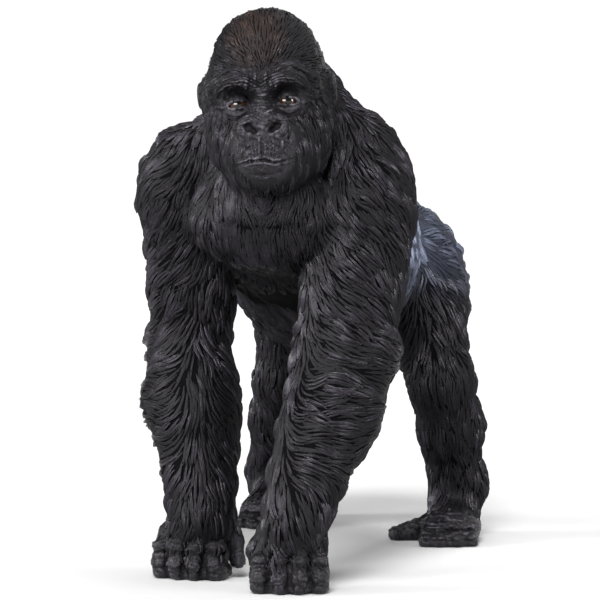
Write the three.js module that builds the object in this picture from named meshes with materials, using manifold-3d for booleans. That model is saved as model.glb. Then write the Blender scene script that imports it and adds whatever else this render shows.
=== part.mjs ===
// A moulded toy figure of a silverback gorilla that walks on its knuckles, with its head turned to its left.
// Millimetres, +Z up. The animal faces -Y and its left side is +X. The figure stands on z = 0.
//
// The body is one smooth form made of tapered limbs and egg-shaped masses that melt into each other.
// A sphere of rays, sent out from a sub-part's own bone, gives its closed surface. Neighbours are then
// parted by flat thin cuts: across the joint in a limb, and elsewhere where the balls that stand for the
// two masses cross.
import * as THREE from "three";
import { mergeVertices } from "three/addons/utils/BufferGeometryUtils.js";
import Module from "manifold-3d";

const wasm = await Module();
wasm.setup();

// ---------------------------------------------------------------- driving sizes
const HEIGHT = 84; // floor to crown
const EYE_LEVEL = 71;
const FLOOR = 0;
const GAP = 0.36; // clear space between neighbouring sub-parts
const CENTRE = new THREE.Vector3(0.19, -2.65, 0); // middle of the figure's floor plan, which becomes the origin
const UP = [0, 0, 1];
const rad = THREE.MathUtils.degToRad;

// Where each joint of the walking pose is, how the hands, feet and head are turned about +Z, how far each
// thumb stands out, how much each elbow narrows to a waist, and how far each forearm bows outward.
const POSE = {
  head: { at: [1.2, -34.2, EYE_LEVEL], turn: 12.5, roll: -4.2 },
  left: {
    side: 1,
    shoulder: [14.1, -26.3, 57.4],
    elbow: [11.9, -28.5, 34],
    wrist: [7.3, -38.6, 13],
    hand: [7, -43.8, 14],
    thumb: 0,
    waist: 0,
    bow: 0,
    hip: [10.3, 21, 41],
    knee: [16.6, 14.2, 26],
    ankle: [17.2, 23.6, 8.8],
    foot: [18.2, 9.9, 8],
  },
  right: {
    side: -1,
    shoulder: [-14.2, -25, 57.4],
    elbow: [-14.4, -22.5, 34],
    wrist: [-10.3, -30, 13],
    hand: [-11.7, -34.4, -3],
    thumb: 2.6,
    waist: 0.8,
    bow: 0.9,
    hip: [-7.8, 22, 41],
    knee: [-11.6, 22.8, 25.5],
    ankle: [-17.4, 36.5, 8.8],
    foot: [-15.8, 22.6, 3],
  },
};

// ---------------------------------------------------------------- forms
// A frame is a place with its own axes; forms are given in a frame and kept in the body's axes.
function frameAt(origin, turn = 0, roll = 0, mirror = 1, pitch = 0) {
  const spin = new THREE.Euler(rad(pitch), rad(roll), rad(turn), "ZYX");
  const m = new THREE.Matrix4().makeRotationFromEuler(spin);
  m.scale(new THREE.Vector3(mirror, 1, 1));
  return m.setPosition(...origin);
}
const BODY = frameAt([0, 0, 0]);

const place = (frame, [x, y, z]) => new THREE.Vector3(x, y, z).applyMatrix4(frame);

// A round bar from a to b whose radius runs from ra to rb.
function taper(frame, a, ra, b, rb) {
  const p = place(frame, a);
  const d = place(frame, b).sub(p);
  const length2 = d.lengthSq();
  return (x, y, z) => {
    const px = x - p.x, py = y - p.y, pz = z - p.z;
    const t = Math.min(1, Math.max(0, (px * d.x + py * d.y + pz * d.z) / length2));
    return Math.hypot(px - t * d.x, py - t * d.y, pz - t * d.z) - ra - t * (rb - ra);
  };
}

// An ellipsoid. Its distance is the usual close estimate.
function egg(frame, centre, [rx, ry, rz]) {
  const e = frame.clone().multiply(new THREE.Matrix4().makeTranslation(...centre)).invert().elements;
  return (x, y, z) => {
    const u = e[0] * x + e[4] * y + e[8] * z + e[12];
    const v = e[1] * x + e[5] * y + e[9] * z + e[13];
    const w = e[2] * x + e[6] * y + e[10] * z + e[14];
    const k0 = Math.hypot(u / rx, v / ry, w / rz);
    const k1 = Math.hypot(u / (rx * rx), v / (ry * ry), w / (rz * rz));
    return k1 < 1e-9 ? -Math.min(rx, ry, rz) : (k0 * (k0 - 1)) / k1;
  };
}

function melt(a, b, soft) {
  const h = Math.max(soft - Math.abs(a - b), 0) / soft;
  return Math.min(a, b) - (h * h * soft) / 4;
}

// One mass made of several forms that melt together over the width soft.
const mass = (soft, forms) => (x, y, z) => {
  let d = 1e3;
  for (const form of forms) d = melt(d, form(x, y, z), soft);
  return d;
};

// A mass with hollows pressed into it.
const carved = (solid, soft, hollows) => (x, y, z) => {
  let d = solid(x, y, z);
  for (const hollow of hollows) d = -melt(-d, hollow(x, y, z), soft);
  return d;
};

const bar = (frame, { a, ra, b, rb }) => taper(frame, a, ra, b, rb);
const between = (a, b, t) => a.map((v, i) => v + (b[i] - v) * t);
const offset = (a, b) => a.map((v, i) => v + b[i]);
const bothSides = (make) => [-1, 1].map(make);

// ---------------------------------------------------------------- trunk
function neckMass() {
  return mass(4, [
    taper(BODY, [1.3, -30, 73], 8, [0.5, -20, 66], 10),
    taper(BODY, [1.3, -26, 70.5], 7, [13.4, -25, 64], 5.1),
    taper(BODY, [0.6, -26, 67.4], 6.6, [-13.2, -24.5, 62.2], 5.3),
    taper(BODY, [1.3, -32, 62], 6.5, [0, -25, 55], 8),
    egg(BODY, [0.2, -13, 63.5], [11, 11, 8]),
  ]);
}

function chestMass() {
  return mass(5, [
    egg(BODY, [0, -17, 53], [14.6, 14.5, 14.5]),
    ...bothSides((s) => egg(BODY, [s * 5.2, -28.2, 53.2], [7, 6.8, 6.6])),
  ]);
}

function bellyMass() {
  return mass(6, [
    egg(BODY, [0, -1, 48.6], [15.8, 17, 11.6]),
    egg(BODY, [0, 6, 46], [12.5, 14, 9.2]),
    egg(BODY, [0, 2, 52.5], [11.5, 18, 9.5]),
    egg(BODY, [-0.3, 1, 41], [10.6, 13, 9.6]),
  ]);
}

function rumpMass() {
  return mass(5, [egg(BODY, [0, 19.5, 46.6], [13, 14.5, 11]), egg(BODY, [0, 25, 41], [9.5, 10.5, 9.5])]);
}

// ---------------------------------------------------------------- arms
// An arm is two bars side by side: the bone's own muscles, and the long hair that hangs off its outer side.
// The left arm shows its broad side, so there they lie further apart.
const armSpread = (side) => (side > 0 ? 1.8 : 0.4);

function shoulderMass({ side, shoulder }) {
  return egg(BODY, offset(shoulder, [side * 0.8, 0, 0.2]), [6.5, 8, 8.8]);
}

function upperArmMass({ side, shoulder, elbow, waist }) {
  const inward = -side * armSpread(side);
  const top = offset(shoulder, [0, 0, -4]);
  const middle = offset(between(shoulder, elbow, 0.6), [-side * 1.5, 0, 0]);
  return mass(4, [
    taper(BODY, top, 6.3, middle, 6.1 - waist),
    taper(BODY, middle, 6.1 - waist, offset(elbow, [inward * (1 - waist), -0.8, -1]), 6.3 - waist),
    taper(
      BODY,
      offset(top, [-inward - side, 0.5, 0]),
      6.1,
      offset(elbow, [-inward - side * (0.7 + 0.5 * waist), 1.2, 3]),
      5.9 - 0.8 * waist,
    ),
  ]);
}

function forearmMass({ side, elbow, wrist, waist, bow }) {
  const along = (t, out, back) => offset(between(elbow, wrist, t), [side * out, back, 0]);
  const inner = 0.3 * (0.5 - armSpread(side)) - 0.15 - 0.4 * bow;
  return mass(3, [
    taper(BODY, along(0, 0.5 - armSpread(side), -0.6), 6.2 - waist, along(0.3, inner, -0.5), 6.05 + 0.25 * bow),
    taper(BODY, along(0.3, inner, -0.5), 6.05 + 0.25 * bow, along(0.55, -0.3, -0.4), 5.9),
    taper(BODY, along(0.55, -0.3, -0.4), 5.9, along(0.85, 0, 0), 5.1),
    taper(BODY, along(0.85, 0, 0), 5.1, along(1.15, 0, 0), 4.9),
    taper(BODY, along(0, 1.9 - 0.6 * waist, 1.4), 6.1 - waist, along(0.4, 1.8 + bow, 1.8), 5.4),
    taper(BODY, along(0.4, 1.8 + bow, 1.8), 5.4, along(0.8, 0.5 * bow - 0.3, 1.4), 4.6),
  ]);
}

// In a hand's or foot's own frame, +x is its thumb or great toe side, +y is back and z = 0 is the floor.
const handFrame = ({ side, hand: [x, y, turn] }) => frameAt([x, y, 0], turn, 0, -side);
const footFrame = ({ side, foot: [x, y, turn] }) => frameAt([x, y, 0], turn, 0, -side);

// Four fingers, index to little: offset across the hand, how far the knuckle sits back, and thickness.
const FINGERS = [
  { across: 4.1, back: 0.9, thick: 1.6 },
  { across: 1.4, back: 0.1, thick: 1.75 },
  { across: -1.5, back: 0, thick: 1.7 },
  { across: -4.3, back: 0.9, thick: 1.5 },
];
const FLAT = 0.45; // how deep a digit is pressed flat where it rests on the floor

function fingerBones({ across, back, thick }) {
  const bottom = thick - FLAT;
  return [
    { a: [across * 0.74, back + 3.6, 7.8], ra: thick + 0.2, b: [across, back + 1.75, 2.7], rb: thick + 0.12 },
    { a: [across, back + 1.9, bottom], ra: thick, b: [across * 0.95, back + 6, bottom - 0.25], rb: thick - 0.25 },
  ];
}

const thumbBones = (out) => [{ a: [3.8 + out / 2, 6.2, 8.2], ra: 1.5, b: [4.6 + out, 6.2, 2.8], rb: 1.15 }];

function palmForms(limb) {
  const frame = handFrame(limb);
  const heel = place(frame, [0, 4.8, 6.2]).toArray();
  return [taper(BODY, limb.wrist, 4.7, heel, 4.1), egg(frame, [0, 4.4, 6.6], [5.2, 3.2, 3.4])];
}

function handMass(limb) {
  const frame = handFrame(limb);
  const bars = [...FINGERS.flatMap(fingerBones), ...thumbBones(limb.thumb)];
  return mass(0.8, [...palmForms(limb), ...bars.map((bone) => bar(frame, bone))]);
}

// ---------------------------------------------------------------- legs
function thighMass({ hip, knee }) {
  return mass(4, [
    egg(BODY, hip, [8.9, 10.8, 12.5]),
    taper(BODY, between(hip, knee, 0.35), 7, between(hip, knee, 0.95), 5),
  ]);
}

function shankMass({ knee, ankle }) {
  const calf = offset(between(knee, ankle, 0.42), [0, 1, 0]);
  const below = offset(ankle, [0, 0, -2]);
  return mass(3, [
    taper(BODY, knee, 5, calf, 5.1),
    taper(BODY, calf, 5.1, ankle, 4.4),
    taper(BODY, ankle, 4.4, below, 4.2),
  ]);
}

// The small toes, second to little: offset across, how far the tip sits back, and thickness.
const TOES = [
  { across: 3.1, back: 0.9, thick: 1.35 },
  { across: 0.8, back: 0.8, thick: 1.35 },
  { across: -1.6, back: 1.2, thick: 1.3 },
  { across: -3.8, back: 2.3, thick: 1.2 },
];

const toeBone = ({ across, back, thick }) => ({
  a: [across * 0.9, back + 4.6, thick + 0.9],
  ra: thick + 0.2,
  b: [across, back + 0.5, thick - FLAT],
  rb: thick,
});

const greatToeBones = () => [
  { a: [2.4, 11.4, 2.4], ra: 2.2, b: [5.8, 9.4, 1.4], rb: 1.65 },
  { a: [5.8, 9.4, 1.4], ra: 1.65, b: [8.6, 8.4, 1], rb: 1.35 },
];

const soleForms = (frame) => [
  egg(frame, [-0.4, 8.2, 2.6], [4.7, 5.6, 2.9]),
  egg(frame, [0, 14.6, 3], [3.8, 4.2, 3.9]),
  taper(frame, [-0.3, 8.6, 3.2], 3.2, [0, 13.6, 5.6], 3.7),
];

function footMass(limb) {
  const frame = footFrame(limb);
  const bars = [...TOES.map(toeBone), ...greatToeBones()];
  return mass(1, [...soleForms(frame), ...bars.map((bone) => bar(frame, bone))]);
}

// ---------------------------------------------------------------- head
// In the head's frame the origin lies between the ears at eye level, -y is forward and +x is its left.
const HEAD = frameAt(POSE.head.at, POSE.head.turn, POSE.head.roll);
const headPoint = (x, y, z) => place(HEAD, [x, y, z]).toArray();
const EYE = { at: [3.7, -6.9, -0.1], radius: 1.5 };

function skullForms() {
  return [
    egg(HEAD, [-0.2, 0.5, 1], [9.35, 9.3, 8.6]),
    egg(HEAD, [0.2, 2.2, 6], [8.0, 8, 7.6]),
    ...bothSides((s) => egg(HEAD, [s * 3.9, -0.8, -4.4], [5.5, 6.8, 7.6])),
    egg(HEAD, [0, -3.6, -9.2], [6.6, 6.2, 4.4]),
  ];
}

// The muzzle, and the brow that runs over both eyes.
const faceForms = () => [
  egg(HEAD, [0, -6.8, -7], [5.9, 5.8, 5.2]),
  egg(HEAD, [0, -6.6, -10], [4.9, 4.9, 3.7]),
  ...bothSides((s) => taper(HEAD, [s * 0.8, -7.8, 2.1], 1.4, [s * 4.4, -7.7, 2.9], 1.5)),
  ...bothSides((s) => taper(HEAD, [s * 4.4, -7.7, 2.9], 1.5, [s * 7.2, -5.4, 1.6], 1.4)),
];

const noseForms = () => [
  taper(HEAD, [0, -7.6, 0.6], 1.4, [0, -10.9, -3], 1.5),
  ...bothSides((s) => egg(HEAD, [s * 1.75, -11, -3.9], [1.7, 1.7, 1.5])),
];

const eyeHollows = () => bothSides((s) => egg(HEAD, [s * 3.7, -9.6, -0.3], [2.4, 2.3, 1.3]));
const nostril = (s) => egg(HEAD, [s * 1.8, -12.9, -4], [0.75, 1.1, 0.5]);
const MOUTH = { middle: [0, -12.6, -8.2], corner: [4.7, -10.5, -8.9], radius: 0.3 };
const lipLine = (s) => taper(HEAD, MOUTH.middle, MOUTH.radius, [s * MOUTH.corner[0], ...MOUTH.corner.slice(1)], 0.2);

const headMass = () =>
  carved(mass(2, [...skullForms(), mass(1.2, faceForms()), mass(1, noseForms())]), 0.8, eyeHollows());

const EAR = { at: [8.9, 1.4, 1.4], size: [0.95, 1.6, 2.1] };

function earMass(side, extra = 0) {
  const frame = HEAD.clone().multiply(frameAt([side * EAR.at[0], EAR.at[1], EAR.at[2]], side * 24, 0, side));
  return egg(frame, [0, 0, 0], EAR.size.map((radius) => radius + extra));
}

// ---------------------------------------------------------------- the whole body
// Every sub-part: its mass, how softly it melts into the rest, the bone its rays leave from, how many rays
// go round and along it.
const { left, right } = POSE;
const limbs = [["left", left], ["right", right]];

const PARTS = [
  {
    name: "chest",
    mass: chestMass(),
    soft: 5,
    bone: [[0, -24, 52], [0, -14, 53]],
    rays: [20, 13],
  },
  {
    name: "belly",
    mass: bellyMass(),
    soft: 6,
    bone: [[0, -3, 48], [0, 7, 47]],
    rays: [22, 10],
  },
  {
    name: "rump",
    mass: rumpMass(),
    soft: 6,
    bone: [[0, 18, 46], [0, 25, 43]],
    rays: [20, 12],
  },
  {
    name: "neck",
    mass: neckMass(),
    soft: 5,
    bone: [[0.5, -25, 69], [0, -18, 66]],
    rays: [22, 13],
  },
  {
    name: "head",
    mass: headMass(),
    soft: 1.6,
    bone: [headPoint(0, -5, -3.6), headPoint(0, 1, 1.5)],
    rays: [24, 17],
  },
  ...limbs.flatMap(([name, limb]) => [
    {
      name: `shoulder_${name}`,
      mass: shoulderMass(limb),
      soft: 3,
      bone: [offset(limb.shoulder, [0, 0, -3]), offset(limb.shoulder, [0, 0, 2])],
      rays: [16, 10],
    },
    {
      name: `upper_arm_${name}`,
      mass: upperArmMass(limb),
      soft: 1.8,
      bone: [between(limb.shoulder, limb.elbow, 0.5), between(limb.shoulder, limb.elbow, 0.85)],
      rays: [18, 9],
    },
    {
      name: `forearm_${name}`,
      mass: forearmMass(limb),
      soft: 2.5,
      bone: [between(limb.elbow, limb.wrist, 0.15), between(limb.elbow, limb.wrist, 0.8)],
      rays: [16, 10],
    },
    { name: `hand_${name}`, mass: handMass(limb), soft: 1.6, limb },
    {
      name: `thigh_${name}`,
      mass: thighMass(limb),
      soft: 4.5,
      bone: [between(limb.hip, limb.knee, 0.15), between(limb.hip, limb.knee, 0.75)],
      rays: [16, 9],
    },
    {
      name: `shank_${name}`,
      mass: shankMass(limb),
      soft: 3,
      bone: [between(limb.knee, limb.ankle, 0.2), between(limb.knee, limb.ankle, 0.8)],
      rays: [16, 9],
    },
    { name: `foot_${name}`, mass: footMass(limb), soft: 2, limb },
  ]),
];

// The whole outline: every mass melted together.
function bodyDistance(x, y, z) {
  let d = 1e3;
  for (const part of PARTS) d = melt(d, part.mass(x, y, z), part.soft);
  return d;
}

// ---------------------------------------------------------------- cuts between neighbours
const ball = (at, radius) => ({ at: new THREE.Vector3(...at), radius });
const HEAD_BALL = ball([1.6, -36, 70], 11);
const NECK_BALL = ball([0.6, -22, 66.5], 10.5);
const CHEST_BALL = ball([0, -17, 53], 15);
const BELLY_BALL = ball([0, 0, 47.5], 16.5);
const RUMP_BALL = ball([0, 21, 45.5], 13.5);
const shoulderBall = ({ shoulder }) => ball(offset(shoulder, [0, 0, 0.6]), 8);
const armBall = ({ shoulder, elbow }) => ball(between(shoulder, elbow, 0.66), 7.5);
const hipBall = ({ hip }) => ball(hip, 10.5);

const CROSSINGS = [
  ["chest", CHEST_BALL, "belly", BELLY_BALL],
  ["belly", BELLY_BALL, "rump", RUMP_BALL],
  ["neck", NECK_BALL, "chest", CHEST_BALL],
  ["head", HEAD_BALL, "neck", NECK_BALL],
  ["head", HEAD_BALL, "chest", CHEST_BALL],
  ["thigh_left", hipBall(left), "thigh_right", hipBall(right)],
  ...limbs.flatMap(([name, limb]) => [
    ["head", HEAD_BALL, `shoulder_${name}`, shoulderBall(limb)],
    ["neck", NECK_BALL, `shoulder_${name}`, shoulderBall(limb)],
    ["chest", CHEST_BALL, `shoulder_${name}`, shoulderBall(limb)],
    ["chest", CHEST_BALL, `upper_arm_${name}`, armBall(limb)],
    [`shoulder_${name}`, shoulderBall(limb), `upper_arm_${name}`, armBall(limb)],
    ["rump", RUMP_BALL, `thigh_${name}`, hipBall(limb)],
    ["belly", BELLY_BALL, `thigh_${name}`, hipBall(limb)],
    ["belly", BELLY_BALL, `upper_arm_${name}`, armBall(limb)],
  ]),
];

// The plane in which the balls that stand for two masses cross.
function crossingCut([nameA, a, nameB, b]) {
  const normal = b.at.clone().sub(a.at);
  const length = normal.length();
  const level = (b.at.lengthSq() - a.at.lengthSq() + a.radius ** 2 - b.radius ** 2) / (2 * length);
  return { nameA, nameB, normal: normal.divideScalar(length), level };
}

// A plane across a limb at one of its joints, square to the line between its neighbouring joints.
function jointCut(nameA, nameB, at, before, after) {
  const normal = new THREE.Vector3(...after).sub(new THREE.Vector3(...before)).normalize();
  return { nameA, nameB, normal, level: normal.dot(new THREE.Vector3(...at)) };
}

const CUTS = [
  ...CROSSINGS.map(crossingCut),
  ...limbs.flatMap(([name, limb]) => [
    jointCut(`upper_arm_${name}`, `forearm_${name}`, limb.elbow, limb.shoulder, limb.wrist),
    jointCut(`forearm_${name}`, `hand_${name}`, offset(limb.wrist, [0, 0, -2]), limb.elbow, limb.wrist),
    jointCut(`thigh_${name}`, `shank_${name}`, limb.knee, limb.hip, limb.ankle),
    jointCut(`shank_${name}`, `foot_${name}`, limb.ankle, offset(limb.ankle, [0, 0, 1]), limb.ankle),
  ]),
];

// The cuts of one sub-part, each as the half space that it keeps.
const cutsOf = (name) =>
  CUTS.flatMap(({ nameA, nameB, normal, level }) => {
    if (name === nameB) return [{ normal, level }];
    return name === nameA ? [{ normal: normal.clone().negate(), level: -level }] : [];
  });

// ---------------------------------------------------------------- surfaces
const STEP = 0.4; // how finely a ray looks for the surface
const HALVINGS = 20;
const PAST_CUT = 1.6; // how far a surface runs on past its cuts before they trim it

// A sphere of rays round a bone from a to b, each stopped where distance() first turns positive.
function wrap(distance, a, b, around, along) {
  const from = new THREE.Vector3(...a);
  const bone = new THREE.Vector3(...b).sub(from);
  const half = bone.length() / 2;
  const middle = from.addScaledVector(bone, 0.5);
  const axis = bone.normalize();
  const upright = new THREE.Quaternion().setFromUnitVectors(new THREE.Vector3(0, 1, 0), axis);
  const sphere = new THREE.SphereGeometry(1, around, along);
  const points = sphere.getAttribute("position");
  const ray = new THREE.Vector3();
  for (let i = 0; i < points.count; i++) {
    ray.fromBufferAttribute(points, i).applyQuaternion(upright).normalize();
    const start = middle.clone().addScaledVector(axis, half * ray.dot(axis));
    const value = (r) => distance(start.x + r * ray.x, start.y + r * ray.y, start.z + r * ray.z);
    let outside = STEP;
    while (value(outside) < 0 && outside < HEIGHT) outside += STEP;
    let inside = outside - STEP;
    for (let n = 0; n < HALVINGS; n++) {
      const r = (inside + outside) / 2;
      if (value(r) < 0) inside = r;
      else outside = r;
    }
    start.addScaledVector(ray, inside);
    points.setXYZ(i, start.x, start.y, start.z);
  }
  return sphere;
}

function solidOf(geometry) {
  const bare = new THREE.BufferGeometry();
  bare.setAttribute("position", geometry.getAttribute("position"));
  bare.setIndex(geometry.getIndex());
  const merged = mergeVertices(bare, 1e-3);
  return new wasm.Manifold(
    new wasm.Mesh({
      numProp: 3,
      vertProperties: merged.getAttribute("position").array,
      triVerts: new Uint32Array(merged.getIndex().array),
    }),
  );
}

function geometryOf(solid) {
  const mesh = solid.getMesh();
  const geometry = new THREE.BufferGeometry();
  geometry.setAttribute("position", new THREE.BufferAttribute(mesh.vertProperties, 3));
  geometry.setIndex(new THREE.BufferAttribute(mesh.triVerts, 1));
  geometry.computeVertexNormals();
  return geometry;
}

const solidRound = (form, a, b, rays) => solidOf(wrap(form, a, b, ...rays));

// The body, kept just past a sub-part's own cuts.
function shareOf(name) {
  const cuts = cutsOf(name);
  return (x, y, z) => {
    let d = bodyDistance(x, y, z);
    for (const { normal: n, level } of cuts) d = Math.max(d, level - PAST_CUT - (n.x * x + n.y * y + n.z * z));
    return d;
  };
}

// A hand or foot: the part of the body near its core, then each digit wrapped by itself and joined on.
const CORE_ROOM = 0.25;
const DIGIT_RAYS = [6, 4];

function handOrFoot(part, frame, coreForms, coreBone, bones, coreRays) {
  const share = shareOf(part.name);
  const core = mass(1.5, coreForms);
  const near = (x, y, z) => Math.max(share(x, y, z), core(x, y, z) - CORE_ROOM);
  const ends = (bone) => bone.map((point) => place(frame, point).toArray());
  let solid = solidRound(near, ...ends(coreBone), coreRays);
  for (const bone of bones) solid = solid.add(solidRound(bar(frame, bone), ...ends([bone.a, bone.b]), DIGIT_RAYS));
  return solid;
}

function handSolid(part) {
  const frame = handFrame(part.limb);
  const bones = [...FINGERS.flatMap(fingerBones), ...thumbBones(part.limb.thumb)];
  const forms = [...palmForms(part.limb), forearmMass(part.limb)];
  return handOrFoot(part, frame, forms, [[0, 4.8, 10], [0, 4.8, 6]], bones, [11, 7]);
}

function footSolid(part) {
  const frame = footFrame(part.limb);
  const bones = [...TOES.map(toeBone), ...greatToeBones()];
  const forms = [...soleForms(frame), shankMass(part.limb)];
  return handOrFoot(part, frame, forms, [[-0.3, 7.5, 2.6], [0, 14, 3.4]], bones, [14, 9]);
}

// ---------------------------------------------------------------- the figure
const finish = (color, roughness) => new THREE.MeshStandardMaterial({ color, roughness, metalness: 0 });
const BLACK_COAT = finish(0x211f23, 0.62);
const SILVER_COAT = finish(0x5a6376, 0.6);
const BARE_SKIN = finish(0x262428, 0.55);
const EYE_PAINT = finish(0x3a1c0c, 0.15);
const SILVER_PARTS = ["belly", "rump"];
const SKIN_PARTS = ["hand", "foot"];

function materialFor(name) {
  if (SILVER_PARTS.includes(name)) return SILVER_COAT;
  return SKIN_PARTS.includes(name.split("_")[0]) ? BARE_SKIN : BLACK_COAT;
}

function eyeBall(side, extra = 0) {
  const [x, y, z] = EYE.at;
  return new THREE.SphereGeometry(EYE.radius + extra, 12, 8).translate(...headPoint(side * x, y, z));
}

function earSolid(side, extra = 0) {
  const [x, y, z] = EAR.at;
  const bone = [-0.6, 0.6].map((rise) => headPoint(side * x, y, z + rise));
  return solidRound(earMass(side, extra), ...bone, [10, 7]);
}

// The head, with a socket for each eye and ear, two nostrils and a lip line cut into it.
function headSolid(part) {
  let solid = solidRound(shareOf(part.name), ...part.bone, part.rays);
  const nose = mass(1, noseForms());
  solid = solid.add(solidRound(nose, headPoint(0, -9.6, -3.6), headPoint(0, -8.8, -1.2), [12, 7]));
  for (const side of [-1, 1]) {
    const nostrilEnds = [-13.2, -12.6].map((y) => headPoint(side * 1.8, y, -4));
    const corner = headPoint(side * MOUTH.corner[0], MOUTH.corner[1], MOUTH.corner[2]);
    const lipEnds = [headPoint(...MOUTH.middle), corner];
    solid = solid
      .subtract(solidOf(eyeBall(side, GAP)))
      .subtract(earSolid(side, GAP))
      .subtract(solidRound(nostril(side), ...nostrilEnds, [7, 4]))
      .subtract(solidRound(lipLine(side), ...lipEnds, [5, 3]));
  }
  return solid;
}

function partSolid(part) {
  const kind = part.name.split("_")[0];
  let solid;
  if (kind === "hand") solid = handSolid(part);
  else if (kind === "foot") solid = footSolid(part);
  else if (kind === "head") solid = headSolid(part);
  else solid = solidRound(shareOf(part.name), ...part.bone, part.rays);
  for (const { normal, level } of cutsOf(part.name)) solid = solid.trimByPlane(normal.toArray(), level + GAP / 2);
  return solid.trimByPlane(UP, FLOOR);
}

const gorilla = new THREE.Group();
gorilla.position.copy(CENTRE).negate();

function addNode(name, geometry, material) {
  const mesh = new THREE.Mesh(geometry, material);
  mesh.name = name;
  gorilla.add(mesh);
}

for (const part of PARTS) addNode(part.name, geometryOf(partSolid(part)), materialFor(part.name));
for (const [name, { side }] of limbs) {
  addNode(`ear_${name}`, geometryOf(earSolid(side)), BARE_SKIN);
  addNode(`eye_${name}`, eyeBall(side), EYE_PAINT);
}

export default gorilla;
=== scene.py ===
"""Looks of a moulded toy figure of a silverback gorilla that walks on its knuckles.

One skin replaces the body's CAD nodes: the same masses melted together, meshed and refined where the
bare skin shows. Sculpted locks of solid mesh lie over it along the flow of the hair. Shapes are worked
out in millimetres in the posed body's own axes (-Y forward, its left +X, floor at 0), and turned into
metres in the row's frame when they become meshes.
"""
import math

import bpy
import numpy as np
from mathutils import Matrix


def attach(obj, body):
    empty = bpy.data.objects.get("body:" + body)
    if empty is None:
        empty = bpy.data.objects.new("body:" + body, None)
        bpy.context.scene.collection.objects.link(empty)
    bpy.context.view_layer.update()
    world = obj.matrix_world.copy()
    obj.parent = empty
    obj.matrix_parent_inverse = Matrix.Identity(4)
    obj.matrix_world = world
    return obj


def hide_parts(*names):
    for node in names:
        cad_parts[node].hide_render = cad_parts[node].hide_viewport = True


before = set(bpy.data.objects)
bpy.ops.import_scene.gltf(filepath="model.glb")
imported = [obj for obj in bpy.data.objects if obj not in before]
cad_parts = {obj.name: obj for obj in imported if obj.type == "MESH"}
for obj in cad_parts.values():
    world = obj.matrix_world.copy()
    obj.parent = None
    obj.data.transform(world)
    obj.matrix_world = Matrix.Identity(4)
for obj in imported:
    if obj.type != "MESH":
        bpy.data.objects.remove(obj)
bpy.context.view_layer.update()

import openvdb
from mathutils import Euler, Matrix, Vector, kdtree

MM = 0.001
CENTRE = np.array([0.19, -2.65, 0.0])  # the row's origin in the body's own axes
EYE_LEVEL = 71.0
RANDOM = np.random.default_rng(16)

# Of each side: the joints, where the hand and foot stand and how far they turn, how far the thumb stands out,
# how slim the elbow is, and how far the forearm bows out.
LIMBS = {
    "left": {
        "side": 1, "thumb": 0, "waist": 0, "bow": 0,
        "shoulder": (14.1, -26.3, 57.4), "elbow": (11.9, -28.5, 34), "wrist": (7.3, -38.6, 13),
        "hip": (10.3, 21, 41), "knee": (16.6, 14.2, 26), "ankle": (17.2, 23.6, 8.8),
        "hand": (7, -43.8, 14), "foot": (18.2, 9.9, 8),
    },
    "right": {
        "side": -1, "thumb": 2.0, "waist": 0.8, "bow": 0.9,
        "shoulder": (-14.2, -25, 57.4), "elbow": (-14.4, -22.5, 34), "wrist": (-10.3, -30, 13),
        "hip": (-7.8, 22, 41), "knee": (-11.6, 22.8, 25.5), "ankle": (-17.4, 36.5, 8.8),
        "hand": (-11.7, -34.4, -3), "foot": (-15.8, 22.6, 3),
    },
}


# ---------------- forms
# A form is a function from points (n, 3) to their distances from its surface, negative inside.
def frame_at(origin, turn=0.0, roll=0.0, mirror=1.0):
    spin = Euler((0, math.radians(roll), math.radians(turn)), "XYZ").to_matrix().to_4x4()
    return np.array(Matrix.Translation(origin) @ spin @ Matrix.Diagonal((mirror, 1, 1, 1)))


BODY = np.eye(4)
FAR = 1e3  # the distance that stands for far outside
STRAND_REACH = 1.6  # how far from a strand its distance is still worked out


def place(at_frame, points):
    """One point or many, from a frame's own axes to the body's."""
    return np.asarray(points, float) @ at_frame[:3, :3].T + at_frame[:3, 3]


def beside_bar(q, start, run):
    """How far along a bar each point lies, from 0 to 1, and its distance from the bar's middle line."""
    v = q - start
    t = np.clip(v @ run / (run @ run), 0, 1)
    return t, np.linalg.norm(v - t[:, None] * run, axis=1)


def taper(at_frame, a, ra, b, rb):
    """A round bar from a to b whose radius runs from ra to rb."""
    start = place(at_frame, a)
    run = place(at_frame, b) - start

    def distance(q):
        t, gap = beside_bar(q, start, run)
        return gap - ra - t * (rb - ra)

    return distance


def chain(at_frame, *stops):
    """Bars end to end through stops, each a point and a radius."""
    return [taper(at_frame, *one, *other) for one, other in zip(stops, stops[1:])]


def egg(at_frame, centre, radii):
    """An ellipsoid. Its distance is the usual close estimate."""
    inverse = np.linalg.inv(at_frame @ np.array(Matrix.Translation(centre)))
    radii = np.asarray(radii, float)

    def distance(q):
        v = place(inverse, q)
        k0 = np.linalg.norm(v / radii, axis=1)
        k1 = np.maximum(np.linalg.norm(v / radii**2, axis=1), 1e-9)
        return k0 * (k0 - 1) / k1

    return distance


def melt(a, b, soft):
    h = np.maximum(soft - np.abs(a - b), 0) / soft
    return np.minimum(a, b) - h * h * soft / 4


def mass(soft, forms):
    """Several forms that melt together over the width soft."""

    def distance(q):
        d = np.full(len(q), FAR)
        for form in forms:
            d = melt(d, form(q), soft)
        return d

    return distance


def joined(a, b, soft):
    return lambda q: melt(a(q), b(q), soft)


def carved(solid, soft, hollows):
    def distance(q):
        d = solid(q)
        for hollow in hollows:
            d = -melt(-d, hollow(q), soft)
        return d

    return distance


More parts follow.
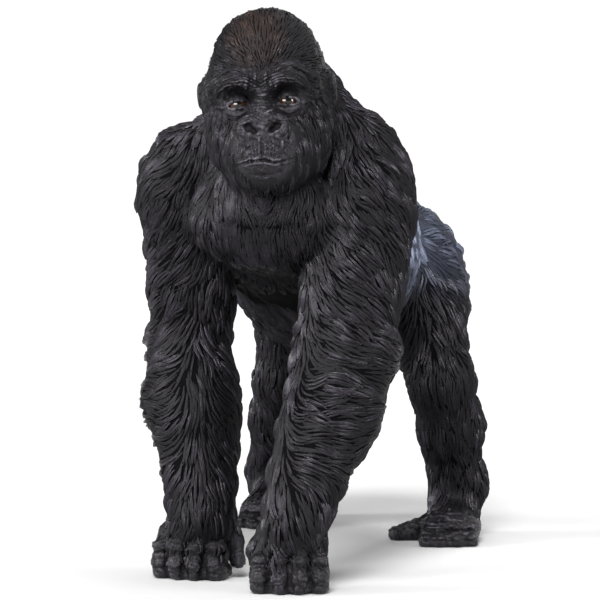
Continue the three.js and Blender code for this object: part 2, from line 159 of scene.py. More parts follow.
def strand(points, radii):
    """A bent round bar through several points."""
    points = np.asarray(points, float)
    low, high = points.min(axis=0) - STRAND_REACH, points.max(axis=0) + STRAND_REACH

    def distance(q):
        d = np.full(len(q), FAR)
        near = ((q > low) & (q < high)).all(axis=1)
        for a, b, ra, rb in zip(points, points[1:], radii, radii[1:]):
            t, gap = beside_bar(q[near], a, b - a)
            d[near] = np.minimum(d[near], gap - ra - t * (rb - ra))
        return d

    return distance


def unit(v):
    return v / np.maximum(np.linalg.norm(v, axis=-1, keepdims=True), 1e-9)


def gradient(distance, q, step=0.05):
    """The direction in which a distance grows fastest, from the corners of a small tetrahedron."""
    corners = np.array([(1, -1, -1), (-1, -1, 1), (-1, 1, -1), (1, 1, 1)], float)
    return unit(sum(corner * distance(q + corner * step)[:, None] for corner in corners))


def vectors(*axes):
    """Points or directions from their x, y and z, any of which may be one number for all."""
    return np.stack(np.broadcast_arrays(*axes), axis=-1).astype(float)


def between(a, b, t):
    return np.asarray(a, float) + (np.asarray(b, float) - a) * t


def offset(a, b):
    return np.asarray(a, float) + b


def both_sides(make):
    """What a function makes of the right side, -1, and of the left side, 1."""
    return [make(-1), make(1)]


def smooth(low, high, value):
    """0 at low, 1 at high and an even S between. Low may be the larger of the two."""
    t = np.clip((value - low) / (high - low), 0, 1)
    return t * t * (3 - 2 * t)


# ---------------- trunk
def neck_mass():
    return mass(4, [
        taper(BODY, (1.3, -30, 73), 8, (0.5, -20, 66), 10),
        taper(BODY, (1.3, -26, 70.5), 7, (13.4, -25, 64), 5.1),
        taper(BODY, (0.6, -26, 67.4), 6.6, (-13.2, -24.5, 62.2), 5.3),
        taper(BODY, (1.3, -32, 62), 6.5, (0, -25, 55), 8),
        egg(BODY, (0.2, -13, 63.5), (11, 11, 8)),
    ])


def chest_mass():
    pectorals = both_sides(lambda s: egg(BODY, (s * 5.2, -28.4, 53.0), (7.2, 6.8, 6.2)))
    breastbone = egg(BODY, (1.2, -29.3, 54.0), (6.8, 6.0, 7.6))
    return mass(4, [egg(BODY, (0, -17, 54.3), (14.6, 14.4, 13.2)), *pectorals, breastbone])


def belly_mass():
    return mass(6, [
        egg(BODY, (0, -1, 48.6), (15.8, 17, 11.6)),
        egg(BODY, (0, 6, 46), (12.5, 14, 9.2)),
        egg(BODY, (0, 2, 52.5), (11.5, 18, 9.5)),
        egg(BODY, (-0.3, 1, 41), (10.6, 13, 9.6)),
    ])


def rump_mass():
    return mass(5, [egg(BODY, (0, 19.5, 46.6), (13, 14.5, 11)), egg(BODY, (0, 25, 41), (9.5, 10.5, 9.5))])


# ---------------- arms
def arm_spread(side):
    """How far the arm's bars spread inward and outward of its bone at the elbow."""
    return 1.8 if side > 0 else 0.4


def shoulder_mass(limb):
    return egg(BODY, offset(limb["shoulder"], (limb["side"] * 0.8, 0, 0.2)), (6.5, 8, 8.8))


def upper_arm_mass(limb):
    side, elbow, waist = limb["side"], limb["elbow"], limb["waist"]
    inward = -side * arm_spread(side)
    top = offset(limb["shoulder"], (0, 0, -4))
    middle = offset(between(limb["shoulder"], elbow, 0.6), (inward * 0.8, 0, 0))
    inner_elbow = offset(elbow, (inward * (1 - waist), -0.8, -1))
    outer_top = offset(top, (-inward - side * 1.3, 0.5, 0))
    outer_elbow = offset(elbow, (-inward * 0.7 - side * (0.7 + 0.5 * waist), 1.2, 3))
    return mass(4, [
        *chain(BODY, (top, 6.3), (middle, 6.1 - waist), (inner_elbow, 6.3 - waist)),
        taper(BODY, outer_top, 6.1, outer_elbow, 5.9 - 0.8 * waist),
    ])


def forearm_mass(limb):
    side, waist, bow = limb["side"], limb["waist"], limb["bow"]

    def stop(t, out, back, radius):
        return offset(between(limb["elbow"], limb["wrist"], t), (side * out, back, 0)), radius

    inner = 0.5 - arm_spread(side)
    front = [
        stop(0, inner, -0.6, 6.2 - waist), stop(0.3, 0.3 * inner - 0.15 - 0.4 * bow, -0.5, 6.05 + 0.25 * bow),
        stop(0.55, -0.3, -0.4, 5.9), stop(0.85, 0, 0, 5.1), stop(1.15, 0, 0, 4.9),
    ]
    back = [
        stop(0, 1.4 - 0.6 * waist, 1.4, 6.1 - waist), stop(0.4, 1.5 + bow, 1.8, 5.4),
        stop(0.8, 0.5 * bow - 0.3, 1.4, 4.6),
    ]
    return mass(3, chain(BODY, *front) + chain(BODY, *back))


def floor_frame(limb, end):
    """A hand's or foot's frame: +x is the thumb or great toe side, +y is back and z = 0 is the floor."""
    x, y, turn = limb[end]
    return frame_at((x, y, 0), turn, mirror=-limb["side"])


# Across the hand from index to little finger, how far the knuckle sits back, and thickness.
FINGERS = ((4.1, 0.9, 1.6), (1.4, 0.1, 1.75), (-1.5, 0, 1.7), (-4.3, 0.9, 1.5))
FLAT = 0.45  # how deep a digit is pressed flat where it rests on the floor


def finger_bars(finger):
    """The two lengths of a bent finger, each as (a, ra, b, rb)."""
    across, back, thick = finger
    low = thick - FLAT
    return (
        ((across * 0.74, back + 3.6, 7.8), thick + 0.2, (across, back + 1.75, 2.7), thick + 0.12),
        ((across, back + 1.9, low), thick, (across * 0.95, back + 6, low - 0.25), thick - 0.25),
    )


def thumb_bars(out):
    return (
        ((3.6 + out / 2, 6.0, 8.6), 1.7, (4.3 + out * 0.8, 5.9, 5.4), 1.45),
        ((4.3 + out * 0.8, 5.9, 5.4), 1.4, (4.6 + out, 5.7, 2.6), 1.15),
    )


def finger_gaps():
    """The grooves between the fingers, each as its points in the hand's frame."""
    for one, other in zip(FINGERS, FINGERS[1:]):
        across, back = (one[0] + other[0]) / 2, (one[1] + other[1]) / 2
        down = [(across, back + 0.55, 4.4), (across, back + 0.5, 2.6), (across, back + 0.5, 0.3)]
        yield [(across * 0.85, back + 1.5, 6.9), *down]


def knuckle_creases():
    """Two short creases across each finger."""
    for across, back, thick in FINGERS:
        end = back + 0.2
        for z in (3.5, 3.95):
            yield [(across - thick, end, z), (across, back - 0.25, z - 0.1), (across + thick, end, z)]


def hand_mass(limb):
    at_hand = floor_frame(limb, "hand")
    thumb = thumb_bars(limb["thumb"])
    bars = [bar for finger in FINGERS for bar in finger_bars(finger)] + list(thumb)
    knuckles = [
        egg(at_hand, (across * 0.99, back + 1.1, z), (thick * 0.92, 1.25, 0.95))
        for across, back, thick in FINGERS
        for z in (2.4, 5.0)
    ]
    palm = [
        taper(BODY, limb["wrist"], 4.7, place(at_hand, (0, 4.8, 6.2)), 4.1),
        egg(at_hand, (0, 4.4, 6.6), (5.2, 3.2, 3.4)),
    ]
    creases = [strand(place(at_hand, crease), (0.1, 0.16, 0.1)) for crease in knuckle_creases()]
    gaps = [strand(place(at_hand, gap), (0.12, 0.32, 0.42, 0.8)) for gap in finger_gaps()]
    nail = egg(at_hand, offset(thumb[1][2], (0.25, -0.85, -0.2)), (0.62, 0.45, 0.8))
    solid = mass(0.55, palm + [taper(at_hand, *bar) for bar in bars] + knuckles)
    return carved(carved(joined(solid, nail, 0.08), 0.35, gaps), 0.2, creases)


# ---------------- legs
def thigh_mass(limb):
    hip, knee = limb["hip"], limb["knee"]
    lower = taper(BODY, between(hip, knee, 0.35), 7, between(hip, knee, 0.95), 5)
    return mass(4, [egg(BODY, hip, (8.9, 10.8, 12.5)), lower])


def shank_mass(limb):
    knee, ankle = limb["knee"], limb["ankle"]
    calf = offset(between(knee, ankle, 0.42), (0, 1, 0))
    return mass(3, chain(BODY, (knee, 5), (calf, 5.1), (ankle, 4.4), (offset(ankle, (0, 0, -2)), 4.2)))


# The small toes, second to little: offset across, how far the tip sits back, and thickness.
TOES = ((3.1, 0.9, 1.35), (0.8, 0.8, 1.35), (-1.6, 1.2, 1.3), (-3.8, 2.3, 1.2))


def foot_mass(limb):
    at_foot = floor_frame(limb, "foot")
    toes = [
        taper(
            at_foot, (across * 0.9, back + 4.6, thick + 0.9), thick + 0.2,
            (across, back + 0.5, thick - FLAT), thick)
        for across, back, thick in TOES
    ]
    great_toe = chain(at_foot, ((2.4, 11.4, 2.4), 2.2), ((5.8, 9.4, 1.4), 1.65), ((8.6, 8.4, 1), 1.35))
    nails = [
        egg(at_foot, (across, back - 0.35, thick + 0.25), (thick * 0.55, 0.75, 0.42))
        for across, back, thick in TOES
    ]
    nails.append(egg(at_foot, (9.1, 8.1, 1.55), (0.7, 0.85, 0.6)))
    sole = [
        egg(at_foot, (-0.4, 8.2, 2.6), (4.7, 5.6, 2.9)),
        egg(at_foot, (0, 14.6, 3), (3.8, 4.2, 3.9)),
        taper(at_foot, (-0.3, 8.6, 3.2), 3.2, (0, 13.6, 5.6), 3.7),
    ]
    creases = [
        taper(at_foot, (across - thick, y, 2.5), 0.14, (across + thick, y, 2.5), 0.14)
        for across, back, thick in TOES
        for y in (back + 1.2, back + 1.75)
    ]
    foot = mass(1, sole + toes + great_toe)
    return carved(joined(foot, mass(0.1, nails), 0.12), 0.2, creases)


# ---------------- head
# In the head's frame the origin lies between the ears at eye level, -y is forward and +x is its left.
HEAD = frame_at((1.2, -34.2, EYE_LEVEL), turn=12.5, roll=-4.2)
HEAD_INVERSE = np.linalg.inv(HEAD)
FACE = HEAD @ frame_at((-0.3, 0, 0))  # the face's middle lies a little to its right
FACE_INVERSE = np.linalg.inv(FACE)
EYE_AT = (3.5, -6.5, -0.4)
EYE_RADIUS = 1.6
EYE_OPENING = (1.42, 0.4)  # half the width and height of the gap between the lids
LID = 0.25  # thickness of the lids
EAR_AT = (9.2, 1.0, 1.3)
EAR_SIZE = (0.95, 1.45, 2.0)


def in_head(q):
    return place(HEAD_INVERSE, q)


def in_face(q):
    return place(FACE_INVERSE, q)


def eye_centre(side):
    return np.array(EYE_AT) * (side, 1, 1)


def skull_forms():
    return [
        egg(HEAD, (-0.2, 0.5, 1), (9.35, 9.3, 8.6)),
        egg(HEAD, (0.2, 2.2, 6), (8.0, 8, 7.6)),
        *both_sides(lambda s: egg(HEAD, (s * 3.9, -0.8, -4.4), (5.5, 6.8, 7.6))),
        egg(HEAD, (0, -3.6, -9.2), (6.6, 6.2, 4.4)),
    ]


def face_forms():
    """The muzzle, and the brow that runs over both eyes."""
    return [
        egg(HEAD, (0, -6.8, -7), (5.9, 5.8, 5.2)),
        egg(HEAD, (0, -6.6, -10), (4.9, 4.9, 3.7)),
        *both_sides(lambda s: taper(HEAD, (s * 0.8, -7.7, 2.6), 1.4, (s * 4.2, -7.8, 3.4), 1.4)),
        *both_sides(lambda s: taper(HEAD, (s * 4.2, -7.8, 3.4), 1.4, (s * 7.0, -5.6, 2.1), 1.3)),
    ]


def nose_forms():
    return [
        taper(FACE, (0, -7.7, 0.8), 1.5, (0, -10.9, -3), 1.5),
        *both_sides(lambda s: egg(FACE, (s * 1.8, -10.9, -3.9), (1.8, 1.7, 1.6))),
    ]


def eye_hollows():
    return both_sides(lambda s: egg(FACE, (s * (EYE_AT[0] - 0.1), -9.9, EYE_AT[2] + 1.0), (2.6, 3.4, 1.7)))


def plain_head_mass():
    solid = mass(2, [*skull_forms(), mass(1.2, face_forms()), mass(1, nose_forms())])
    return carved(solid, 0.8, eye_hollows())


def on_face(solid, x, z, out=0.0):
    """The point of a solid's front at x and z in the face's frame, moved out along the surface's normal."""
    line = place(FACE, vectors(x, np.arange(-15.5, 0, 0.04), z))
    spot = line[[np.argmax(solid(line) < 0)]]
    return (spot + out * gradient(solid, spot))[0]


def curve_through(points, step=0.45):
    """Closely spaced places on a smooth curve through a few points, and how far along each lies."""
    points = np.asarray(points, float)
    padded = np.concatenate([[2 * points[0] - points[1]], points, [2 * points[-1] - points[-2]]])
    places, along = [], []
    for i in range(len(points) - 1):
        a, b, c, d = padded[i:i + 4]
        count = max(int(np.linalg.norm(c - b) / step), 1)
        for t in np.arange(count) / count:
            bend = (2 * a - 5 * b + 4 * c - d) * t * t + (3 * b - a - 3 * c + d) * t**3
            places.append(0.5 * (2 * b + (c - a) * t + bend))
            along.append(i + t)
    return np.array([*places, points[-1]]), np.array([*along, len(points) - 1])


def face_line(solid, out, stops):
    """A strand over the face through stops of (x, z, radius), its middle out from the surface by out."""
    stops = np.array(stops)
    places, along = curve_through(stops[:, :2])
    thickness = np.interp(along, np.arange(len(stops)), stops[:, 2])
    return strand([on_face(solid, x, z, out) for x, z in places], thickness)


def paired(solid, out, *lines):
    """Each line and its mirror image on the other side of the face."""
    return [face_line(solid, out, np.array(stops) * (side, 1, 1)) for stops in lines for side in (1, -1)]


def lid_rim(side):
    """The edge of the eyelids, an almond on the ball that covers the eye."""
    turns = np.radians(np.arange(0, 361, 20))
    across, up = EYE_OPENING[0] * 1.12 * np.cos(turns), EYE_OPENING[1] * 1.3 * np.sin(turns)
    up = up * np.abs(np.sin(turns)) ** 0.35 + 0.12 * side * across
    deep = -np.sqrt(np.maximum((EYE_RADIUS + LID) ** 2 - across**2 - up**2, 0.1))
    rim = place(FACE, eye_centre(side) + vectors(across, deep, up))
    return strand(rim, np.full(len(rim), 0.17))


def brow_folds(plain):
    return [
        *paired(plain, 0.1, ((1.6, 1.8, 0.45), (2.3, 2.7, 0.7), (3.7, 3.3, 0.85), (5.1, 3.0, 0.8),
                             (6.1, 2.2, 0.65), (6.6, 1.1, 0.3))),
        *paired(plain, -0.02, ((0.8, 4.4, 0.22), (0.75, 3.0, 0.4), (1.2, 1.6, 0.28))),
    ]


def eye_folds(plain):
    """The bags below the eyes, the lines at their outer corners, and a fold from the nose to the lip."""
    bags = (
        ((1.9, -1.2, 0.2), (2.7, -1.75, 0.34), (3.8, -1.95, 0.38), (5.2, -1.45, 0.2)),
        ((2.3, -2.2, 0.16), (3.6, -2.85, 0.3), (5.0, -2.55, 0.32), (6.1, -1.6, 0.18)),
        ((4.6, -3.6, 0.16), (5.8, -3.1, 0.26), (6.6, -2.1, 0.15)),
    )
    return [
        *paired(plain, -0.08, *bags),
        *paired(plain, -0.05, ((5.2, -0.6, 0.12), (6.0, -0.7, 0.2), (6.9, -0.5, 0.1))),
        *paired(plain, -0.06, ((3.4, -4.9, 0.1), (2.9, -5.7, 0.2), (2.4, -6.3, 0.1))),
    ]


def nose_rims(plain):
    return paired(plain, -0.05, (
        (0.35, -3.5, 0.28), (0.8, -2.95, 0.45), (1.7, -2.55, 0.56), (2.65, -2.8, 0.62), (3.2, -3.7, 0.6),
        (3.05, -4.6, 0.46), (2.3, -5.15, 0.24)))


# The mouth's line from its right corner to its left, with the width that it opens to.
MOUTH = ((-4.6, -9.15), (-3.7, -9.0), (-2.4, -8.6), (-0.4, -8.45), (1.4, -8.9), (2.5, -8.8), (4.0, -8.65))


def along_mouth(widen, lift, radii):
    """The mouth's line moved and stretched, with a radius at each of its points."""
    return [(x * widen, z + lift, radius) for (x, z), radius in zip(MOUTH, radii)]


def lips(folded):
    """The thin rolled edges of the closed lips."""
    return [
        face_line(folded, -0.02, along_mouth(0.97, 0.28, (0.04, 0.12, 0.2, 0.22, 0.2, 0.14, 0.04))),
        face_line(folded, -0.02, along_mouth(0.9, -0.3, (0.04, 0.08, 0.2, 0.24, 0.2, 0.1, 0.04))),
    ]


def face_grooves(folded):
    along_brows = (
        ((1.7, 3.5, 0.08), (2.6, 4.15, 0.2), (4.0, 4.5, 0.24), (5.6, 4.1, 0.2), (6.9, 3.0, 0.08)),
        ((2.2, 3.2, 0.08), (3.7, 3.8, 0.15), (5.1, 3.5, 0.15), (6.2, 2.7, 0.06)),
        ((2.4, 2.6, 0.06), (3.7, 3.2, 0.13), (5.1, 2.95, 0.13), (6.1, 2.1, 0.05)),
    )
    between_brows = (
        ((1.6, 4.4, 0.14), (1.3, 3.3, 0.34), (1.4, 2.2, 0.36), (1.9, 1.4, 0.16)),
        ((0.3, 4.7, 0.1), (0.25, 3.3, 0.26), (0.4, 1.9, 0.14)),
    )
    beside_nose = ((1.5, 0.6, 0.14), (1.7, -0.5, 0.24), (2.4, -1.6, 0.12))
    over_wing = (
        (0.8, -1.9, 0.08), (2.1, -1.75, 0.2), (3.4, -2.4, 0.26), (4.05, -3.8, 0.2), (3.7, -5.2, 0.08))
    beside_muzzle = ((4.5, -4.0, 0.1), (5.1, -5.2, 0.2), (5.3, -6.8, 0.2), (5.1, -8.3, 0.08))
    under_nose = ((-0.3, -5.6, 0.28), (-0.35, -7.6, 0.26))
    under_lip = ((-2.6, -10.4, 0.4), (-0.3, -10.7, 0.6), (2.2, -10.4, 0.4))
    return [
        *paired(folded, 0.02, *along_brows), *paired(folded, 0.0, *between_brows),
        *paired(folded, 0.02, beside_nose), *paired(folded, 0.0, over_wing, beside_muzzle),
        face_line(folded, 0.12, under_nose), face_line(folded, 0.45, under_lip),
    ]


def head_mass():
    plain = plain_head_mass()
    lids = mass(0.2, both_sides(lambda s: egg(FACE, eye_centre(s), (EYE_RADIUS + LID,) * 3)))
    swellings = mass(0.15, brow_folds(plain) + eye_folds(plain) + nose_rims(plain))
    folded = joined(joined(plain, lids, 0.5), swellings, 0.45)
    rims = mass(0.1, lips(folded) + both_sides(lid_rim))
    mouth = face_line(folded, 0.08, along_mouth(1, 0, (0.22, 0.28, 0.22, 0.2, 0.2, 0.16, 0.08)))
    grooved = carved(carved(joined(folded, rims, 0.2), 0.18, face_grooves(folded)), 0.08, [mouth])
    nostrils = both_sides(lambda s: nostril(plain, s))
    return carved(carved(grooved, 0.25, nostrils), 0.1, both_sides(eye_opening))


def eye_opening(side):
    """The gap between the lids."""
    at_gap = FACE @ frame_at(eye_centre(side) - (0, 1.9, 0), 0, side * 7)
    return egg(at_gap, (0, 0, 0), (EYE_OPENING[0], 1.9, EYE_OPENING[1]))


def nostril(plain, side):
    """A comma that rises from beside the septum towards the wing of the nose."""
    at_nostril = FACE @ frame_at(in_face(on_face(plain, side * 1.75, -3.95, 0.05)), 0, -side * 26)
    return mass(0.2, [
        egg(at_nostril, (side * 0.3, 0, 0.1), (0.75, 1.0, 0.58)),
        egg(at_nostril, (-side * 0.35, 0.1, -0.05), (0.8, 0.9, 0.42)),
    ])


def ear_frame(side):
    return HEAD @ frame_at(np.array(EAR_AT) * (side, 1, 1), side * 12, mirror=side)


def ear_mass(side):
    """An ear with a rolled rim, in a frame where +x points out from the head."""
    at_ear = ear_frame(side)
    rx, ry, rz = EAR_SIZE
    turns = np.radians(np.arange(-70, 251, 20))
    rim = place(at_ear, [(0.4, -math.cos(t) * ry * 0.8, math.sin(t) * rz * 0.82) for t in turns])
    solid = mass(0.4, [
        egg(at_ear, (-0.2, 0, 0), (rx, ry * 0.95, rz * 0.95)),
        egg(at_ear, (-0.3, -0.3, -1.5), (0.8, 0.8, 0.9)),
        strand(rim, np.full(len(rim), 0.34)),
    ])
    hollow = egg(at_ear, (0.85, -0.1, 0.15), (0.6, ry * 0.56, rz * 0.58))
    fold = strand(place(at_ear, [(0.3, 0.35, -0.9), (0.35, 0.45, 0.1), (0.3, 0.1, 0.9)]), (0.16, 0.2, 0.14))
    canal = egg(at_ear, (0.6, -0.45, -0.4), (0.3, 0.25, 0.35))
    return carved(joined(carved(solid, 0.25, [hollow]), fold, 0.2), 0.2, [canal])


# ---------------- the whole body
# How far from its bone a part still shapes the body, and the kinds for which that is another length.
REACH = 13.0
REACHES = {"chest": 22.0, "belly": 22.0, "rump": 20.0, "neck": 19.0, "head": 16.0, "thigh": 18.0, "ear": 6.0}


class Part:
    """A mass of the body, how softly it melts into the rest, and the bone it lies round."""

    def __init__(self, kind, form, soft, *bone, limb=None):
        self.kind, self.form, self.soft, self.limb = kind, form, soft, limb
        self.bone = [np.asarray(end, float) for end in bone]
        self.reach = REACHES.get(kind, REACH)

    def distance(self, q):
        """The distance from this part, worked out only for the points near its bone."""
        start, end = self.bone
        near = beside_bar(q, start, end - start)[1] < self.reach
        d = np.full(len(q), FAR)
        if near.any():
            d[near] = self.form(q[near])
        return d


def limb_parts(limb):
    at_hand, at_foot, at_ear = floor_frame(limb, "hand"), floor_frame(limb, "foot"), ear_frame(limb["side"])
    shoulder, elbow, wrist, knee = limb["shoulder"], limb["elbow"], limb["wrist"], limb["knee"]
    return (
        ("shoulder", shoulder_mass(limb), 3, offset(shoulder, (0, 0, -4)), offset(shoulder, (0, 0, 4))),
        ("upper_arm", upper_arm_mass(limb), 1.8, shoulder, elbow),
        ("forearm", forearm_mass(limb), 2.5, elbow, wrist),
        ("hand", hand_mass(limb), 1.6, place(at_hand, (0, 5, 8)), place(at_hand, (0, 3, 1))),
        ("thigh", thigh_mass(limb), 4.5, offset(limb["hip"], (0, 0, 4)), knee),
        ("shank", shank_mass(limb), 3, knee, limb["ankle"]),
        ("foot", foot_mass(limb), 2, place(at_foot, (0, 15, 3)), place(at_foot, (0, 3, 1.5))),
        ("ear", ear_mass(limb["side"]), 0.3, place(at_ear, (0, 0, -1)), place(at_ear, (0, 0, 1))),
    )


PARTS = [
    Part("chest", chest_mass(), 5, (0, -26, 52), (0, -10, 53)),
    Part("belly", belly_mass(), 6, (0, -8, 49), (0, 12, 48)),
    Part("rump", rump_mass(), 6, (0, 14, 47), (0, 28, 43)),
    Part("neck", neck_mass(), 5, (1, -28, 70), (0, -14, 62)),
    Part("head", head_mass(), 1.6, place(HEAD, (0, -6, -6)), place(HEAD, (0, 3, 6))),
    *[Part(*row, limb=limb) for limb in LIMBS.values() for row in limb_parts(limb)],
]


def part_distances(q):
    return np.stack([part.distance(q) for part in PARTS], axis=1)


def melted(distances):
    d = np.full(len(distances), FAR)
    for part, column in zip(PARTS, distances.T):
        d = melt(d, column, part.soft)
    return d


def body_distance(q):
    return melted(part_distances(q))


# ---------------- where the coat lies
COAT_DEPTH = 1.45  # how far the skin lies inside the outline under the coat, in heights of its strokes
# Of each egg: its middle and its radii.
BARE_EYES = ((0, -8.0, 0.6), (6.9, 6.0, 3.6))
BARE_MUZZLE = ((0, -10.0, -6.2), (4.8, 7.0, 6.2))
SLEEK_CHEST = ((0.6, -35, 53.2), (7.5, 11, 8.4))
HAND_HAIR, FOOT_HAIR = (7.0, 8.8), (5.4, 7.4)  # heights over which the coat gives way to bare skin
DIGITS_TOP = 9  # below this height bare skin is a hand's or foot's

# Of each kind of part: its strokes' length, width and height.
STROKES = {
    "head": (2.2, 0.36, 0.22),
    "neck": (3.2, 0.44, 0.30),
    "chest": (3.4, 0.42, 0.28),
    "belly": (3.4, 0.46, 0.28),
    "rump": (3.2, 0.46, 0.25),
    "shoulder": (3.8, 0.46, 0.36),
    "upper_arm": (4.0, 0.46, 0.38),
    "forearm": (4.6, 0.46, 0.38),
    "hand": (3.1, 0.50, 0.36),
    "thigh": (3.8, 0.46, 0.34),
    "shank": (3.6, 0.46, 0.34),
    "foot": (2.2, 0.42, 0.26),
    "ear": (1.0, 0.34, 0.15),
}
STROKE_TABLE = np.array([STROKES[part.kind] for part in PARTS])
CHEEK_GROWTH = np.array([1.6, 1.2, 1.5])  # how much larger the strokes are on the cheeks than on the crown


def near_face(q):
    """Less than 1 on the bare face, 1 at its edge and more beyond it."""
    p = in_face(q)
    return np.minimum(inside_egg(p, *BARE_EYES), inside_egg(p, *BARE_MUZZLE))


def shares(distances, soft=1.2):
    """How much of each part there is at every point, adding up to 1."""
    weight = np.exp(-(distances - distances.min(axis=1, keepdims=True)) / soft)
    return weight / weight.sum(axis=1, keepdims=True)


def kind_share(weight, kind):
    return weight[:, [part.kind == kind for part in PARTS]].sum(axis=1)


def inside_egg(q, middle, radii):
    """0 in the middle of an egg and 1 on its surface."""
    return np.linalg.norm((q - middle) / radii, axis=1)


def fur(q, weight):
    """1 where the coat covers the skin, 0 where it is bare."""
    face = smooth(0.82, 1.12, near_face(q))
    hand = 1 - kind_share(weight, "hand") * (1 - smooth(*HAND_HAIR, q[:, 2] + 0.5 * DRIFT(q)))
    foot = 1 - kind_share(weight, "foot") * (1 - smooth(*FOOT_HAIR, q[:, 2]))
    ear = 1 - smooth(0.12, 0.4, kind_share(weight, "ear"))
    return face * hand * foot * ear


def sleekness(q):
    """1 in the middle of the almost bare chest, 0 where the coat is full."""
    return 1 - smooth(0.7, 1.1, inside_egg(q, *SLEEK_CHEST))


def at_face_edge(q, weight):
    """1 where the coat meets the bare face, 0 some way behind it."""
    return smooth(1.7, 1.05, near_face(q)) * kind_share(weight, "head")


def stroke_sizes(q, weight):
    """The length, width and height of the coat's strokes at each place."""
    sizes = weight @ STROKE_TABLE
    p = in_face(q)
    cheek = kind_share(weight, "head") * smooth(-1.0, -5.0, p[:, 2])
    face_edge = at_face_edge(q, weight) * (1 - 0.7 * cheek)
    sizes *= 1 + cheek[:, None] * (CHEEK_GROWTH - 1)
    sizes *= 1 - 0.4 * face_edge[:, None]
    sizes *= 1 - sleekness(q)[:, None] * np.array([0.1, 0.25, 0.4])
    return sizes


def coat_depth(q, weight):
    return COAT_DEPTH * (weight @ STROKE_TABLE[:, 2]) * (1 - 0.5 * at_face_edge(q, weight))


def fixed_waver(scale, count=6):
    """A smooth random field from about -1 to 1 whose swells are about scale across."""
    directions = unit(RANDOM.normal(size=(count, 3))) * 2 * math.pi / scale
    phases = RANDOM.uniform(0, 2 * math.pi, count)
    return lambda q: np.sin(q @ directions.T + phases).sum(axis=1) / math.sqrt(count)


DRIFT = fixed_waver(2.6)
FLECKS = fixed_waver(0.75, 9)
SPECKS = fixed_waver(0.8, 9)


def ribs(value, width):
    """Even ridges of one width, from -1 in the grooves to 1 on top."""
    wave = np.sin(2 * math.pi * value / width)
    return wave * (1 - 0.3 * wave)


def face_wrinkles(q):
    """Fine lines round the eyes and along the brows, across the nose's bridge and down the upper lip."""
    p = in_face(q)
    x, aside, z = p[:, 0], np.abs(p[:, 0]), p[:, 2]
    drift = 0.16 * DRIFT(q)
    from_eye = np.hypot((aside - EYE_AT[0]) / 1.2, (z - EYE_AT[2]) * 1.05)
    below = smooth(1.35, 1.9, from_eye) * smooth(4.2, 3.0, from_eye)
    below = below * smooth(0.9, 2.0, aside) * smooth(0.6, -0.6, z)
    rings = 0.055 * ribs(from_eye + drift, 0.5) * below
    brow = smooth(2.5, 3.0, from_eye) * smooth(4.9, 4.3, from_eye) * smooth(1.4, 2.0, z)
    arcs = 0.11 * ribs(from_eye + 0.5 * drift, 0.42) * brow
    bridge = smooth(2.0, 1.2, aside) * smooth(-2.4, -1.6, z) * smooth(1.6, 0.8, z)
    across = 0.06 * ribs(z + 0.09 * x * x + drift, 0.55) * bridge
    lip = smooth(4.4, 3.2, aside) * smooth(-8.4, -7.9, z) * smooth(-5.2, -6.2, z)
    down = 0.05 * ribs(x + drift, 0.6) * lip + 0.15 * np.maximum(SPECKS(q) - 0.3, 0) * lip
    chin = smooth(-9.2, -10.0, z)
    return (rings + arcs + across + down + 0.035 * FLECKS(q)) * (1 - 0.6 * chin)


def digit_wrinkles(q):
    """Folds across the fingers and toes, and leathery swells between them."""
    height = q[:, 2] + 0.3 * DRIFT(q)
    return 0.06 * ribs(height, 0.7) * smooth(0.5, 1.3, q[:, 2]) + 0.045 * FLECKS(q)


def wrinkles(q, covered):
    """How far the bare skin's wrinkles stand out."""
    height = np.zeros(len(q))
    bare = covered < 0.98
    face = bare & (near_face(q) < 1.1)
    height[face] = face_wrinkles(q[face])
    digits = bare & ~face & (q[:, 2] < DIGITS_TOP)
    height[digits] = digit_wrinkles(q[digits])
    return height * (1 - covered)


def skin_distance(q):
    """The bare skin, and under the coat the surface that its strokes lie on, cut off by the floor."""
    distances = part_distances(q)
    weight = shares(distances)
    covered = fur(q, weight)
    outline = melted(distances) + coat_depth(q, weight) * covered - wrinkles(q, covered)
    return np.maximum(outline, -q[:, 2])


def relief(q, bare):
    """How hollow and how raised the bare skin is at each point, from 0 to 1: the hollows get painted shade
    and the raised places lighter paint, partly rubbed paint and partly painted highlight.
    """
    hollow, raised = np.zeros(len(q)), np.zeros(len(q))
    seen = bare > 0.02
    spots = q[seen]
    normal = gradient(skin_distance, spots)

    def sunk_at(depth):
        """0 on flat skin, more in a groove or, for a depth below 0, on a ridge."""
        return 1 - skin_distance(spots + depth * normal) / depth

    groove, socket, ridge = sunk_at(0.3), sunk_at(1.6), sunk_at(-0.3)
    # Painted shade goes where the skin is sunk: fine grooves, and wide hollows such as the eye sockets.
    hollow[seen] = np.clip(1.5 * groove + 1.3 * (socket - 0.25), 0, 1)
    # Ridges get lighter paint, partly rubbed paint and partly painted highlight.
    raised[seen] = np.clip(2.2 * (ridge - 0.25), 0, 1) * (1 - hollow[seen])
    return hollow, raised


# ---------------- the skin's mesh
CELL = 0.5  # spacing of the skin's points before it is refined
BLOCK = 6  # cells along the side of a block, the unit in which the space near the skin is found
HALF_DIAGONAL = 0.87  # from a block's middle to its corner, in sides of the block
SKIN_SHIFT = 0.8  # the skin lies no farther than this from the melted parts
SPACE_LOW, SPACE_HIGH = np.array([-28.0, -51, -2]), np.array([28.0, 50, 88])
LONGEST_MOVE = 0.3  # how far a point is moved to the surface in one turn


